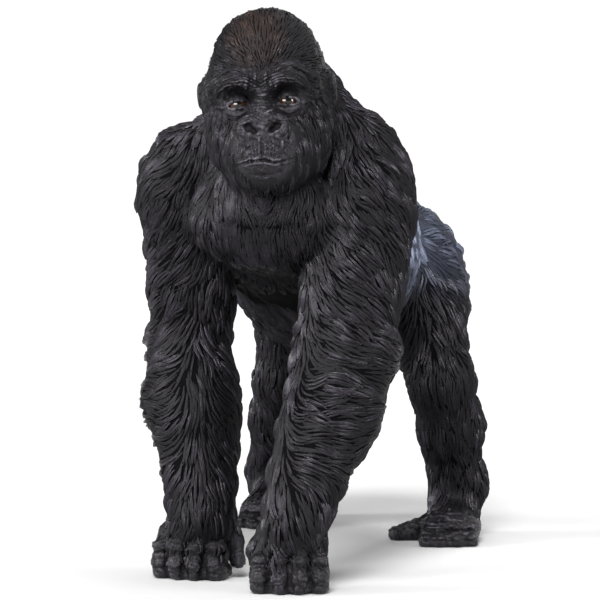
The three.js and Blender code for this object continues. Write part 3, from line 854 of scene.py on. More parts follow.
def surface_quads():
    """The skin as points and quads. Its distances are worked out only in the blocks that it may pass."""
    block_size = CELL * BLOCK
    counts = np.ceil((SPACE_HIGH - SPACE_LOW) / block_size).astype(int)
    blocks = np.indices(counts).reshape(3, -1).T
    coarse = body_distance(SPACE_LOW + (blocks + 0.5) * block_size)
    passed = blocks[np.abs(coarse) < block_size * HALF_DIAGONAL + SKIN_SHIFT]
    inner = np.indices((BLOCK,) * 3).reshape(3, -1).T
    cells = (passed[:, None] * BLOCK + inner).reshape(-1, 3)
    values = np.where(coarse.reshape(counts) < 0, -1.0, 1.0)
    for axis in range(3):
        values = np.repeat(values, BLOCK, axis=axis)
    values[tuple(cells.T)] = np.clip(skin_distance(SPACE_LOW + cells * CELL), -1, 1)
    grid = openvdb.FloatGrid(1.0)
    grid.copyFromArray(values.astype(np.float32))
    points, quads = grid.convertToQuads(0.0)
    return SPACE_LOW + points * CELL, quads.astype(np.int64)


def largest_piece(points, triangles):
    """Keeps the piece of the surface with the most points. Joined points come to share the lowest number."""
    label = np.arange(len(points))
    while True:
        low = label[triangles].min(axis=1)
        new = label.copy()
        np.minimum.at(new, triangles.ravel(), np.repeat(low, 3))
        new = new[new]
        if (new == label).all():
            break
        label = new
    kept = label == np.bincount(label).argmax()
    renumber = np.cumsum(kept) - 1
    return points[kept], renumber[triangles[kept[triangles[:, 0]]]]


def in_triangles(points, quads):
    """Each quad as two triangles, split along its shorter diagonal."""
    a, b, c, d = (points[quads[:, i]] for i in range(4))
    first = np.linalg.norm(a - c, axis=1) <= np.linalg.norm(b - d, axis=1)
    return np.concatenate([
        quads[first][:, [0, 1, 2]], quads[first][:, [0, 2, 3]],
        quads[~first][:, [0, 1, 3]], quads[~first][:, [1, 2, 3]],
    ])


def settle(points, triangles, rounds, movable=None, pull=0.35):
    """Evens out the spacing of the points and brings them back to the skin, in turns."""
    movable = np.ones(len(points), bool) if movable is None else movable
    edges = np.concatenate([triangles[:, [0, 1]], triangles[:, [1, 2]], triangles[:, [2, 0]]])
    count = np.maximum(np.bincount(edges[:, 0], minlength=len(points)), 1)
    for turn in range(rounds + 1):
        q = points[movable]
        d = skin_distance(q)
        normal = gradient(skin_distance, q)
        if turn < rounds:
            total = vectors(*(np.bincount(edges[:, 0], axis[edges[:, 1]], len(points)) for axis in points.T))
            drift = (total / count[:, None] - points)[movable]
            drift -= (drift * normal).sum(axis=1, keepdims=True) * normal
            q = q + pull * drift
        points[movable] = q - np.clip(d, -LONGEST_MOVE, LONGEST_MOVE)[:, None] * normal
    points[:, 2] = np.maximum(points[:, 2], 0)
    return points


def refine(points, triangles, wanted):
    """Splits every edge of the wanted triangles in two, and their neighbours to match."""
    sides = triangles[:, [[0, 1], [1, 2], [2, 0]]]
    keys = np.sort(sides, axis=2) @ np.array([len(points), 1])
    unique, edge = np.unique(keys.ravel(), return_inverse=True)
    edge = edge.reshape(-1, 3)
    split = np.zeros(len(unique), bool)
    split[edge[wanted]] = True
    while True:
        two = split[edge].sum(axis=1) == 2
        if not two.any():
            break
        split[edge[two]] = True
    middle = np.cumsum(split) - 1 + len(points)
    ends = np.stack([unique[split] // len(points), unique[split] % len(points)], axis=1)
    points = np.concatenate([points, points[ends].mean(axis=1)])
    number = split[edge].sum(axis=1)
    kept = triangles[number == 0]
    whole, m = triangles[number == 3], middle[edge[number == 3]]
    quarters = [np.stack([whole[:, i], m[:, i], m[:, i - 1]], axis=1) for i in range(3)]
    halves = []
    for i in range(3):
        chosen = (number == 1) & split[edge[:, i]]
        a, b, c = np.roll(triangles[chosen], -i, axis=1).T
        cut = middle[edge[chosen, i]]
        halves += [np.stack([a, cut, c], axis=1), np.stack([cut, b, c], axis=1)]
    return points, np.concatenate([kept, *quarters, m, *halves])


def fineness(q):
    """How many times the skin is refined at each point: the face and ears twice, the hands and feet once."""
    level = np.zeros(len(q), int)
    level[near_face(q) < 1.06] = 2
    for side in (-1, 1):
        level[np.linalg.norm(q - ear_frame(side)[:3, 3], axis=1) < 2.9] = 2
    low = q[:, 2] < 7.4
    level[low] = np.maximum(level[low], 1)
    level[q[:, 2] < 0.2] = 0
    return level


def make_skin_mesh():
    points, quads = surface_quads()
    points, triangles = largest_piece(points, in_triangles(points, quads))
    points = settle(points, triangles, 2)
    for level in (1, 2):
        wanted = (fineness(points)[triangles] >= level).all(axis=1)
        points, triangles = refine(points, triangles, wanted)
        points = settle(points, triangles, 2, fineness(points) >= level)
    return points, triangles


def in_row(points):
    return (points - CENTRE) * MM


def add_mesh(name, points, triangles, material):
    mesh = bpy.data.meshes.new(name)
    mesh.vertices.add(len(points))
    mesh.vertices.foreach_set("co", in_row(points).astype(np.float32).ravel())
    mesh.loops.add(triangles.size)
    mesh.loops.foreach_set("vertex_index", triangles.astype(np.int32).ravel())
    mesh.polygons.add(len(triangles))
    mesh.polygons.foreach_set("loop_start", np.arange(0, triangles.size, 3, dtype=np.int32))
    mesh.update(calc_edges=True)
    mesh.polygons.foreach_set("use_smooth", np.ones(len(triangles), bool))
    mesh.materials.append(material)
    return add_object(name, mesh)


def add_object(name, data):
    added = bpy.data.objects.new(name, data)
    bpy.context.scene.collection.objects.link(added)
    return added


def set_attribute(piece, name, values):
    piece.data.attributes.new(name, "FLOAT", "POINT").data.foreach_set("value", values.astype(np.float32))


# ---------------- markings
# The skin and the coat carry the same markings: each is a share from 0 to 1 of one paint.
def markings(q):
    crown = 1 - smooth(0.45, 1.05, inside_egg(in_head(q), (-0.9, -5.5, 10.5), (5.2, 7.5, 8.0)))
    back = smooth(-13, -2, q[:, 1] + 1.5 * DRIFT(q / 3))
    under = smooth(36, 43, q[:, 2] + 0.25 * np.maximum(np.abs(q[:, 0]) - 10, 0))
    thigh = smooth(39, 51, q[:, 2] + 0.3 * np.maximum(q[:, 1] - 12, 0))
    pale = 0.44 + 0.56 * smooth(16, 4, q[:, 1])
    return {"crown": crown, "saddle": back * under * thigh * pale}


# ---------------- flow of the coat
# A flow gives the direction in which the strokes lie at points with these normals, of any length.
def head_flow(q, normal):
    """Out from between the brows over the crown, down the cheeks and nape."""
    p = in_head(q)
    out = unit(p - (0, -8.8, 2.4))
    down = unit(vectors(0.22 * np.sign(p[:, 0]), 0.25, -1))
    low = smooth(-2.5, 4.0, -p[:, 2])[:, None]
    nape = smooth(1, 7, p[:, 1])[:, None]
    flow = (out * (1 - low) + down * low) * (1 - 0.6 * nape) + np.array([0, 0.5, -0.8]) * nape * 0.6
    return flow @ HEAD[:3, :3].T


def arm_flow(limb):
    """Down and outward over the shoulder and upper arm."""
    side = limb["side"]

    def flow(q, normal):
        inner = smooth(0.0, 0.9, -side * normal[:, 0])
        return vectors(side * (0.85 - 0.7 * inner), 0.25, -0.85)

    return flow


def forearm_flow(limb):
    """Down from a parting in front, then round to both sides in long curves."""
    side = limb["side"]
    parting = -1.0 if side > 0 else -0.35

    def flow(q, normal):
        out = side * normal[:, 0] - parting
        steep = smooth(0.0, 1.15, np.abs(out)) * (0.35 + 0.65 * smooth(12, 20, q[:, 2]))
        turn = np.radians(86) * steep
        return vectors(np.sign(out) * side * np.sin(turn), 0.75 * np.sin(turn), -np.cos(turn) - 0.08)

    return flow


def thigh_flow(limb):
    """Out from the groin, back and down."""
    groin = (limb["side"] * 17.0, 8, 43)
    return lambda q, normal: unit(q - groin) * 0.75 + (0, 0.3, -0.75)


def steady(*direction):
    return lambda q, normal: np.tile(direction, (len(q), 1))


def neck_flow(q, normal):
    throat = smooth(0.2, 0.8, -normal[:, 1])
    return vectors(0.7 * np.clip(normal[:, 0], -1, 1), 0.75 - 0.9 * throat, -0.45 - 0.6 * throat)


def trunk_flow(q, normal):
    """Back along the spine and down the flanks."""
    flank = 1 - smooth(0.2, 0.95, normal[:, 2])
    return vectors(0.2 * normal[:, 0], 0.95 - 0.3 * flank, -0.1 - 0.75 * flank)


def belly_flow(q, normal):
    """Back and down the flanks, then in towards the middle of the paunch."""
    paunch = smooth(46, 40, q[:, 2])[:, None]
    hanging = vectors(-0.8 * np.tanh(q[:, 0] / 2), 0.25, -1)
    return trunk_flow(q, normal) * (1 - paunch) + hanging * paunch


THROAT = (1.4, 60.5)  # the middle, across and up, of the folds that ring the throat


def chest_flow(q, normal):
    """Down the chest, and round below the chin in arcs."""
    front = smooth(0.1, 0.7, -normal[:, 1])[:, None]
    inward = -0.16 * np.clip(q[:, 0] - 0.6, -5, 5) * smooth(54, 61, q[:, 2])
    aside, below = q[:, 0] - THROAT[0], THROAT[1] - q[:, 2]
    arc = vectors(-np.sign(aside) * np.abs(below), 0, -np.abs(aside) - 0.6)
    ring = (smooth(9.4, 4.4, np.hypot(aside, below)) * smooth(1.5, 3.0, below))[:, None]
    down = unit(vectors(inward, 0.2, -1)) * (1 - ring) + unit(arc) * ring
    return trunk_flow(q, normal) * (1 - front) + down * front


def flow_of(part):
    of_limb = {"shoulder": arm_flow, "upper_arm": arm_flow, "forearm": forearm_flow, "thigh": thigh_flow}
    of_rest = {
        "head": head_flow, "ear": head_flow, "neck": neck_flow, "chest": chest_flow,
        "belly": belly_flow, "rump": trunk_flow,
        "hand": steady(0, -0.1, -1), "shank": steady(0, 0.3, -1), "foot": steady(0, -0.3, -1),
    }
    return of_limb[part.kind](part.limb) if part.kind in of_limb else of_rest[part.kind]


FLOWS = [flow_of(part) for part in PARTS]


def waver(q, scale, count=7):
    """A smooth random field from -1 to 1 whose swells are about scale across."""
    total = np.zeros(len(q))
    for _ in range(count):
        wave = unit(RANDOM.normal(size=3))
        total += np.sin(q @ wave * 2 * math.pi / scale + RANDOM.uniform(0, 2 * math.pi))
    return total / math.sqrt(count)


def combed(q, normal, weight):
    """The lie of the coat at each point, along the surface."""
    flow = np.zeros_like(q)
    for i, make in enumerate(FLOWS):
        chosen = weight[:, i] > 0.01
        if chosen.any():
            flow[chosen] += weight[chosen, i, None] * unit(make(q[chosen], normal[chosen]))
    flow -= (flow * normal).sum(axis=1, keepdims=True) * normal
    return unit(flow)


def turned(flow, normal, angle):
    return flow * np.cos(angle)[:, None] + np.cross(normal, flow) * np.sin(angle)[:, None]


# ---------------- locks of the coat
# A stroke is a closed ridge: a point, five rings of five and a point, at these shares of its length.
STATIONS = np.array([0, 0.12, 0.3, 0.52, 0.73, 0.9, 1.0])
RING_WIDTH = np.array([0.5, 0.9, 1.0, 0.82, 0.45])  # of the five rings, in shares of the stroke's own
RING_HEIGHT = np.array([0.3, 0.85, 1.0, 0.85, 0.5])
RING_ACROSS = np.array([0.5, 0.27, 0.0, -0.27, -0.5])  # from the stroke's left foot over its two crests
RING_UP = np.array([0.0, 1.0, 0.3, 0.9, 0.0])
SUNK = 0.09  # how deep a stroke's feet lie in the skin
RISE = np.array([0.25, 0.6, 0.9, 1.0, 1.0])  # how a lock rises from its roots to its tips
PITCH = 0.72  # the least distance between strokes side by side, in widths of a stroke
SHINGLE = 0.26  # the least distance between strokes in line, in lengths of a stroke
CANDIDATES = 3.2  # places tried for each stroke
FURRED = 0.3  # the least share of coat over the skin where a stroke may grow
LOCK = 9  # strokes in a lock
LOCK_TURN, LOCK_BEND = math.radians(9), math.radians(18)  # how unevenly the locks lie
STROKE_TURN, STROKE_BEND = math.radians(3), math.radians(4)  # the same for the strokes in a lock
SWAY = math.radians(8)  # and for the slow turns that run through the whole coat
STRANDS = 3  # fine hairs scored along each stroke
PIECE_LIMIT = 190_000  # triangles in one piece of the coat


def scattered(points, triangles):
    """Random places on the furred skin, several for every stroke that fits, with the skin's normals there."""
    corners = points[triangles]
    middle = corners.mean(axis=1)
    product = np.cross(corners[:, 1] - corners[:, 0], corners[:, 2] - corners[:, 0])
    area = np.linalg.norm(product, axis=1) / 2
    weight = shares(part_distances(middle))
    length, width, _ = stroke_sizes(middle, weight).T
    density = CANDIDATES / (PITCH * width * SHINGLE * length) * (fur(middle, weight) > FURRED)
    running = np.cumsum(area * density)
    count = int(running[-1])
    chosen = np.searchsorted(running, (np.arange(count) + RANDOM.uniform(size=count)) * running[-1] / count)
    chosen = np.minimum(chosen, len(triangles) - 1)
    u, v = RANDOM.uniform(size=(2, count))
    flip = u + v > 1
    u[flip], v[flip] = 1 - u[flip], 1 - v[flip]
    a, b, c = corners[chosen].transpose(1, 0, 2)
    return a + u[:, None] * (b - a) + v[:, None] * (c - a), unit(product[chosen])


def tree_of(points):
    """A tree that finds the nearest of some points."""
    tree = kdtree.KDTree(len(points))
    for i, spot in enumerate(points):
        tree.insert(spot, i)
    tree.balance()
    return tree


def stroke_roots(points, triangles):
    """Where the strokes grow: evenly spaced, closer side by side than in line, and their spacing."""
    places, normal = scattered(points, triangles)
    weight = shares(part_distances(places))
    length, width, _ = stroke_sizes(places, weight).T
    flow = combed(places, normal, weight)
    beside, in_line = PITCH * width, SHINGLE * length
    tree = tree_of(places)
    open_places = np.ones(len(places), bool)
    kept = []
    for i in RANDOM.permutation(len(places)):
        if not open_places[i]:
            continue
        kept.append(i)
        near = np.array([found[1] for found in tree.find_range(places[i], in_line[i])])
        away = places[near] - places[i]
        along = away @ flow[i]
        aside = (away * away).sum(axis=1) - along * along
        open_places[near[aside / beside[i] ** 2 + (along / in_line[i]) ** 2 < 1]] = False
    kept = np.array(kept)
    return places[kept], np.sqrt(beside[kept] * in_line[kept])


def coat_base(q):
    """The surface that the strokes lie on: the skin without its wrinkles."""
    distances = part_distances(q)
    weight = shares(distances)
    return melted(distances) + coat_depth(q, weight) * fur(q, weight)


def in_locks(roots, spacing):
    """The seed stroke of each stroke's lock, and how far towards the lock's edge the stroke lies."""
    seeds = np.arange(0, len(roots), LOCK)
    tree = tree_of(roots[seeds])
    lock = np.array([tree.find(root)[1] for root in roots])
    gap = np.linalg.norm(roots - roots[seeds[lock]], axis=1)
    return seeds, lock, gap / (spacing * math.sqrt(LOCK / math.pi))


def grow(roots, lock):
    """Each stroke's spine and normals at its stations, with its sizes."""
    weight = shares(part_distances(roots))
    sizes = stroke_sizes(roots, weight)
    sizes *= RANDOM.uniform((0.75, 0.8, 0.75), (1.25, 1.2, 1.25), size=sizes.shape)
    locks = lock.max() + 1
    free = (1 - 0.6 * sleekness(roots)) * (1 - 0.5 * kind_share(weight, "head"))
    angle = SWAY * waver(roots, 5.0) + LOCK_TURN * RANDOM.normal(size=locks)[lock]
    angle += STROKE_TURN * RANDOM.normal(size=len(roots))
    bend = LOCK_BEND * RANDOM.normal(size=locks)[lock] + STROKE_BEND * RANDOM.normal(size=len(roots))
    spine, normals = [], []
    q = roots.copy()
    for k, station in enumerate(STATIONS):
        normal = gradient(coat_base, q)
        q = q - np.clip(coat_base(q), -LONGEST_MOVE, LONGEST_MOVE)[:, None] * normal
        spine.append(q)
        normals.append(normal)
        if k + 1 < len(STATIONS):
            ahead = combed(q, normal, shares(part_distances(q)))
            ahead = turned(ahead, normal, free * (angle + bend * (station - 0.3)))
            q = q + ahead * (sizes[:, 0] * (STATIONS[k + 1] - station))[:, None]
    return np.stack(spine, axis=1), np.stack(normals, axis=1), sizes, weight


def gather(spine, seeds, lock, edge):
    """Draws the strokes of each lock together towards their tips."""
    middle = spine[seeds][lock]
    near = smooth(2.2, 1.2, edge) * (np.linalg.norm(spine[:, -1] - middle[:, -1], axis=1) < 4)
    pull = (0.38 * STATIONS**1.4)[None, :, None] * near[:, None, None]
    return spine + (middle - spine) * pull


def stroke_faces():
    """The triangles of one stroke: its root, its rings and its tip."""
    around, rings = len(RING_ACROSS), len(RING_WIDTH)
    tip = 1 + around * rings
    faces = []
    for a in range(around):
        b = (a + 1) % around
        faces += [(0, 1 + b, 1 + a), (tip, tip - around + a, tip - around + b)]
        for ring in range(1, 1 + around * (rings - 1), around):
            c, d = ring + a + around, ring + b + around
            faces += [(ring + a, ring + b, d), (ring + a, d, c)]
    return np.array(faces)


STROKE_FACES = stroke_faces()


def stroke_points(spine, normals, sizes, crest, rise, lift):
    """The points of a closed ridge for each stroke, whose top stands on the rise of its lock."""
    along = unit(np.gradient(spine, axis=1))
    left = unit(np.cross(normals, along))[:, 1:-1, None]
    up = normals[:, 1:-1, None]
    wide = (sizes[:, 1, None] * RING_WIDTH)[..., None, None] * RING_ACROSS[:, None]
    top = (crest[:, None] * RING_HEIGHT + rise[:, None] * RISE)[..., None, None]
    foot = SUNK * (RING_UP[:, None] == 0)
    rings = spine[:, 1:-1, None] + left * wide + up * (top * RING_UP[:, None] - foot)
    root = spine[:, :1] - normals[:, :1] * SUNK
    tip = spine[:, -1:] + normals[:, -1:] * lift[:, None, None]
    return np.concatenate([root, rings.reshape(len(spine), -1, 3), tip], axis=1)


def unwrapped(roots, owner):
    """Each root's place on an unwrap of the skin, where every part has its own tile."""
    columns = 5
    place_uv = np.empty((len(roots), 2))
    for i, part in enumerate(PARTS):
        chosen = owner == i
        if not chosen.any():
            continue
        start, end = part.bone
        axis = unit(end - start)
        side = unit(np.cross(axis, (0.3, 0.9, 0.2)))
        v = roots[chosen] - start
        along = v @ axis
        round_it = np.arctan2(v @ np.cross(axis, side), v @ side) / (2 * math.pi) + 0.5
        rise = (along - along.min()) / max(np.ptp(along), 1e-6)
        tile = np.array([i % columns, i // columns])
        place_uv[chosen] = (tile + 0.05 + 0.9 * np.stack([round_it, rise], axis=1)) / columns
    return place_uv


PATCH = 0.003  # size of a stroke's patch in the unwrap
ACROSS = np.concatenate([[0.5], np.tile(0.5 - RING_ACROSS, len(RING_WIDTH)), [0.5]])
ALONG = np.concatenate([[0], np.repeat(STATIONS[1:-1], len(RING_ACROSS)), [1]])
# The pieces of the coat and the kinds of parts that each covers.
GROUPS = {
    "head": ("head", "ear"), "trunk_front": ("neck", "chest"), "trunk_back": ("belly", "rump"),
    "shoulder": ("shoulder", "upper_arm"), "forearm": ("forearm", "hand"), "leg": ("thigh", "shank", "foot"),
}
LIMB_GROUPS = ("shoulder", "forearm", "leg")
FLOOR_GAP = 0.3  # strokes that reach lower than this are left out
UNDERSIDE = (44, -0.88)  # the trunk has no strokes below this height where its normal points this far down


def shown(vertices, roots, normals, kinds):
    """Which strokes keep clear of the floor and of the trunk's underside."""
    under = (roots[:, 2] < UNDERSIDE[0]) & (normals[:, 0, 2] < UNDERSIDE[1])
    under &= np.isin(kinds, ("chest", "belly", "rump"))
    return (vertices[:, :, 2].min(axis=1) > FLOOR_GAP) & ~under


def coat_paint(roots, kinds, inner, layer):
    """The markings, and the lighter paint on each stroke's crest: partly rubbed paint and partly painted
    highlight, with more painted light on the right upper arm, the paunch and the sleek chest, and painted
    shade at the bottom of the chest's front."""
    paint = markings(roots)
    # Painted shade: darker crests below the chest's front.
    shaded = (kinds == "chest") * smooth(48.8, 46.2, roots[:, 2]) * smooth(-4, -12, roots[:, 1])
    # Painted light: brighter crests on the right upper arm and on the paunch.
    more = 0.35 * (kinds == "upper_arm") * smooth(-4, -9, roots[:, 0])
    more += 0.8 * (kinds == "belly") * smooth(46, 40, roots[:, 2])
    # Inner strokes of the upper locks get lighter crests, partly rubbed paint and partly painted highlight;
    # the sleek chest's brighter crests are painted light.
    crest_wear_and_light = (0.25 + 0.75 * inner * (0.6 + 0.4 * layer)) * (1 + more) + 0.4 * sleekness(roots)
    paint["crest"] = np.clip(crest_wear_and_light, 0, 1.7) * (1 - 0.6 * shaded)
    return paint


def make_coat(points, triangles, material):
    roots, spacing = stroke_roots(points, triangles)
    seeds, lock, edge = in_locks(roots, spacing)
    spine, normals, sizes, weight = grow(roots, lock)
    spine = gather(spine, seeds, lock, edge)
    on_head, height = kind_share(weight, "head"), sizes[:, 2]
    inner = 1 - smooth(0.35, 1.15, edge)
    layer = RANDOM.uniform(0.25, 1.0, len(seeds))[lock]
    rise = height * inner * layer * (1 - 0.7 * sleekness(roots)) * (1 - 0.6 * on_head)
    lift = (rise * 0.8 + height * RANDOM.uniform(0.1, 0.7, len(roots))) * (1 - 0.9 * on_head)
    vertices = stroke_points(spine, normals, sizes, height * (0.45 + 0.65 * inner), rise, lift)
    owner = weight.argmax(axis=1)
    kinds = np.array([part.kind for part in PARTS])[owner]
    place_uv = unwrapped(roots, owner)
    paint = coat_paint(roots, kinds, inner, layer)
    for group, members in GROUPS.items():
        chosen = np.flatnonzero(np.isin(kinds, members) & shown(vertices, roots, normals, kinds))
        parts = math.ceil(len(chosen) * len(STROKE_FACES) / PIECE_LIMIT)
        across = spine[chosen, 0, 0] if group in LIMB_GROUPS else spine[chosen, 0, 1]
        order = chosen[np.argsort(across, kind="stable")]
        for number, share in enumerate(np.array_split(order, parts), 1):
            painted = {name: values[share] for name, values in paint.items()}
            yield coat_piece(f"coat_{group}_{number}", vertices[share], place_uv[share], painted, material)


def coat_piece(name, vertices, place_uv, paint, material):
    count, corners = vertices.shape[:2]
    faces = (STROKE_FACES + corners * np.arange(count)[:, None, None]).reshape(-1, 3)
    piece = add_mesh(name, vertices.reshape(-1, 3), faces, material)
    uv = place_uv[:, None] + PATCH * (np.stack([ACROSS, ALONG], axis=1) - 0.5)
    layer = piece.data.uv_layers.new(name="OFBake")
    layer.uv.foreach_set("vector", uv.reshape(-1, 2)[faces.ravel()].astype(np.float32).ravel())
    for paint_name, values in paint.items():
        set_attribute(piece, paint_name, np.repeat(values, corners))
    ridge = np.concatenate([[0.3], np.tile(RING_UP, len(RING_WIDTH)), [0.9]])
    set_attribute(piece, "ridge", np.tile(ridge, count))
    set_attribute(piece, "across", np.tile(ACROSS, count))
    return piece


# ---------------- materials
class Nodes:
    """A material's node tree, with short ways to add to it."""

    def __init__(self, name):
        self.material = bpy.data.materials.new(name)
        self.material.use_nodes = True
        self.tree = self.material.node_tree
        self.shader = self.tree.nodes["Principled BSDF"]

    def add(self, kind, inputs=None, **settings):
        node = self.tree.nodes.new(kind)
        for name, value in settings.items():
            setattr(node, name, value)
        for name, value in (inputs or {}).items():
            self.feed(node.inputs[name], value)
        return node

    def feed(self, socket, value):
        if isinstance(value, bpy.types.NodeSocket):
            self.tree.links.new(value, socket)
        else:
            socket.default_value = value

    def attribute(self, name):
        return self.add("ShaderNodeAttribute", attribute_name=name).outputs["Fac"]

    def maths(self, operation, a, b=0.0, clamp=False):
        return self.add("ShaderNodeMath", {0: a, 1: b}, operation=operation, use_clamp=clamp).outputs[0]

    def times(self, a, b, clamp=False):
        return self.maths("MULTIPLY", a, b, clamp)

    def plus(self, a, b, clamp=False):
        return self.maths("ADD", a, b, clamp)

    def blend(self, factor, a, b):
        """Runs from one colour to another."""
        return self.add("ShaderNodeMix", {0: factor, 6: a, 7: b}, data_type="RGBA").outputs[2]

    def where(self):
        return self.add("ShaderNodeTexCoord").outputs["Object"]

    def noise(self, scale, detail=3.0, roughness=0.55):
        inputs = {"Vector": self.where(), "Scale": scale, "Detail": detail, "Roughness": roughness}
        return self.add("ShaderNodeTexNoise", inputs).outputs["Fac"]

    def cells(self, scale):
        """Grows from 0 in the middle of small rounded cells."""
        inputs = {"Vector": self.where(), "Scale": scale}
        return self.add("ShaderNodeTexVoronoi", inputs, feature="SMOOTH_F1").outputs["Distance"]

    def span(self, value, low, high, to_low=0.0, to_high=1.0):
        inputs = {"Value": value, "From Min": low, "From Max": high, "To Min": to_low, "To Max": to_high}
        return self.add("ShaderNodeMapRange", inputs).outputs["Result"]

    def vector(self, operation, a, b=(0, 0, 0)):
        return self.add("ShaderNodeVectorMath", {0: a, 1: b}, operation=operation)

    def set_bump(self, strength, distance, height):
        bump = self.add("ShaderNodeBump", {"Strength": strength, "Distance": distance, "Height": height})
        self.feed(self.shader.inputs["Normal"], bump.outputs["Normal"])


# Painted shade: the darkest colour, put in the grooves and hollows and on the skin that the coat hides.
GROOVE_SHADE = (0.0015, 0.0014, 0.0018, 1)
BLACK = (0.0030, 0.0027, 0.0035, 1)
# Lighter paint for the strokes' crests and the bare skin's ridges: partly rubbed paint, partly painted
# highlight.
WORN_AND_LIT_BLACK = (0.0240, 0.0218, 0.0276, 1)
WORN_AND_LIT_SKIN = (0.062, 0.0575, 0.069, 1)
BROWN = (0.035, 0.0205, 0.0155, 1)
DARK_BROWN = (0.020, 0.0118, 0.0090, 1)
# Painted shade in the grooves of the brown crown.
BROWN_GROOVE_SHADE = (0.005, 0.0030, 0.0024, 1)
SILVER = (0.33, 0.37, 0.50, 1)
MID_SILVER = (0.140, 0.160, 0.226, 1)
# The saddle's darkest tone, and also the painted shade in the saddle's grooves.
DARK_SILVER = (0.026, 0.0305, 0.046, 1)
IRIS = ((0.006, 0.0022, 0.0010, 1), (0.036, 0.0125, 0.0035, 1))
EYE_WHITE = ((0.012, 0.006, 0.006, 1), (0.05, 0.018, 0.017, 1))
PUPIL = (0.002, 0.002, 0.002, 1)
PAPER = ((0.44, 0.44, 0.44, 1), (0.46, 0.46, 0.46, 1))


def painted_plastic(name, ridged, shine=0.18):
    """Satin black plastic with a brown crown and a sprayed blue-grey saddle. Painted shade darkens its
    grooves and hollows, and lighter paint on crests and ridges is partly rubbed paint and partly painted
    highlight.
    """
    nodes = Nodes(name)
    times, plus, span, blend = nodes.times, nodes.plus, nodes.span, nodes.blend
    cloud = nodes.noise(140, 4)
    wear_and_highlight = span(times(cloud, nodes.noise(1400, 3)), 0.15, 0.4)
    if ridged:
        # The strokes' crests get lighter paint, partly rubbed paint and partly painted highlight.
        top = times(nodes.attribute("ridge"), nodes.attribute("crest"))
        wear_and_highlight = times(span(top, 0.3, 0.95), plus(wear_and_highlight, 0.45), clamp=True)
        # Painted shade: the strokes' feet and the fine grooves between the hairs scored along each stroke
        # take the groove colour.
        strands = nodes.maths("SINE", times(nodes.attribute("across"), 2 * math.pi * STRANDS))
        depth = times(span(top, 0.05, 0.5), span(strands, -1.0, 0.0, 0.35, 1.0))
    else:
        # On the bare skin the raised places get lighter paint, partly rubbed paint and partly painted
        # highlight; the 'bare' attribute is 0 in the hollows and under the coat, where it puts painted shade.
        wear_and_highlight = plus(times(wear_and_highlight, 0.2), nodes.attribute("raised"), clamp=True)
        depth = nodes.attribute("bare")
    black = blend(wear_and_highlight, BLACK, WORN_AND_LIT_BLACK if ridged else WORN_AND_LIT_SKIN)
    sprayed_brown = times(nodes.attribute("crown"), span(cloud, 0.3, 0.65, 0.8, 1.0))
    sprayed = nodes.attribute("saddle")
    pale = span(sprayed, 0.45, 1.0)
    silver = blend(wear_and_highlight, blend(pale, DARK_SILVER, MID_SILVER), blend(pale, MID_SILVER, SILVER))
    saddle = times(span(sprayed, 0.0, 0.6), span(cloud, 0.25, 0.6, 0.75, 1.0), clamp=True)
    # The painted shade for grooves and hollows: near black, dark brown in the crown and dark blue-grey in the
    # saddle.
    groove = blend(saddle, blend(sprayed_brown, GROOVE_SHADE, BROWN_GROOVE_SHADE), DARK_SILVER)
    crown = blend(wear_and_highlight, DARK_BROWN, BROWN)
    colour = blend(depth, groove, blend(saddle, blend(sprayed_brown, black, crown), silver))
    nodes.feed(nodes.shader.inputs["Base Color"], colour)
    satin = span(nodes.noise(500, 3), 0.3, 0.7, 0.2 if ridged else 0.17, 0.32)
    matt_grooves = times(nodes.maths("SUBTRACT", 1.0, depth), 0.4 if ridged else 0.65)
    nodes.feed(nodes.shader.inputs["Roughness"], plus(satin, matt_grooves))
    nodes.shader.inputs["Specular IOR Level"].default_value = shine
    nodes.shader.inputs["Specular Tint"].default_value = (0.95, 0.92, 1.0, 1)
    nodes.shader.inputs["IOR"].default_value = 1.5
    if ridged:
        nodes.set_bump(0.6, 0.00015, plus(times(strands, 0.16), nodes.noise(2600, 4, 0.6)))
    else:
        pores = times(nodes.cells(1750), 0.8)
        grain = plus(nodes.noise(1300, 5, 0.65), nodes.noise(5200, 2))
        nodes.set_bump(0.45, 0.0003, nodes.maths("SUBTRACT", grain, pores))
    return nodes.material


def eye_paint(name, side):
    """Glossy dark brown with an orange glow and a black pupil, set by the angle from the gaze."""
    nodes = Nodes(name)
    centre = in_row(place(FACE, eye_centre(side)))
    gaze = unit(HEAD[:3, :3] @ np.array([0.10, -1, -0.04]))
    from_centre = nodes.vector("SUBTRACT", nodes.where(), tuple(centre)).outputs[0]
    outward = nodes.vector("NORMALIZE", from_centre).outputs[0]
    facing = nodes.vector("DOT_PRODUCT", outward, tuple(gaze)).outputs["Value"]
    fibre = nodes.noise(2500, 4)
    iris = nodes.blend(nodes.span(fibre, 0.35, 0.65), *IRIS)
    white = nodes.blend(nodes.span(fibre, 0.3, 0.7), *EYE_WHITE)
    around = nodes.blend(nodes.span(facing, 0.80, 0.66), iris, white)
    nodes.feed(nodes.shader.inputs["Base Color"], nodes.blend(nodes.span(facing, 0.95, 0.968), around, PUPIL))
    nodes.shader.inputs["Roughness"].default_value = 0.2
    nodes.shader.inputs["Specular IOR Level"].default_value = 0.0
    nodes.shader.inputs["Coat Weight"].default_value = 1.0
    nodes.shader.inputs["Coat Roughness"].default_value = 0.03
    nodes.shader.inputs["Coat IOR"].default_value = 1.45
    nodes.set_bump(0.1, 0.00005, fibre)
    return nodes.material


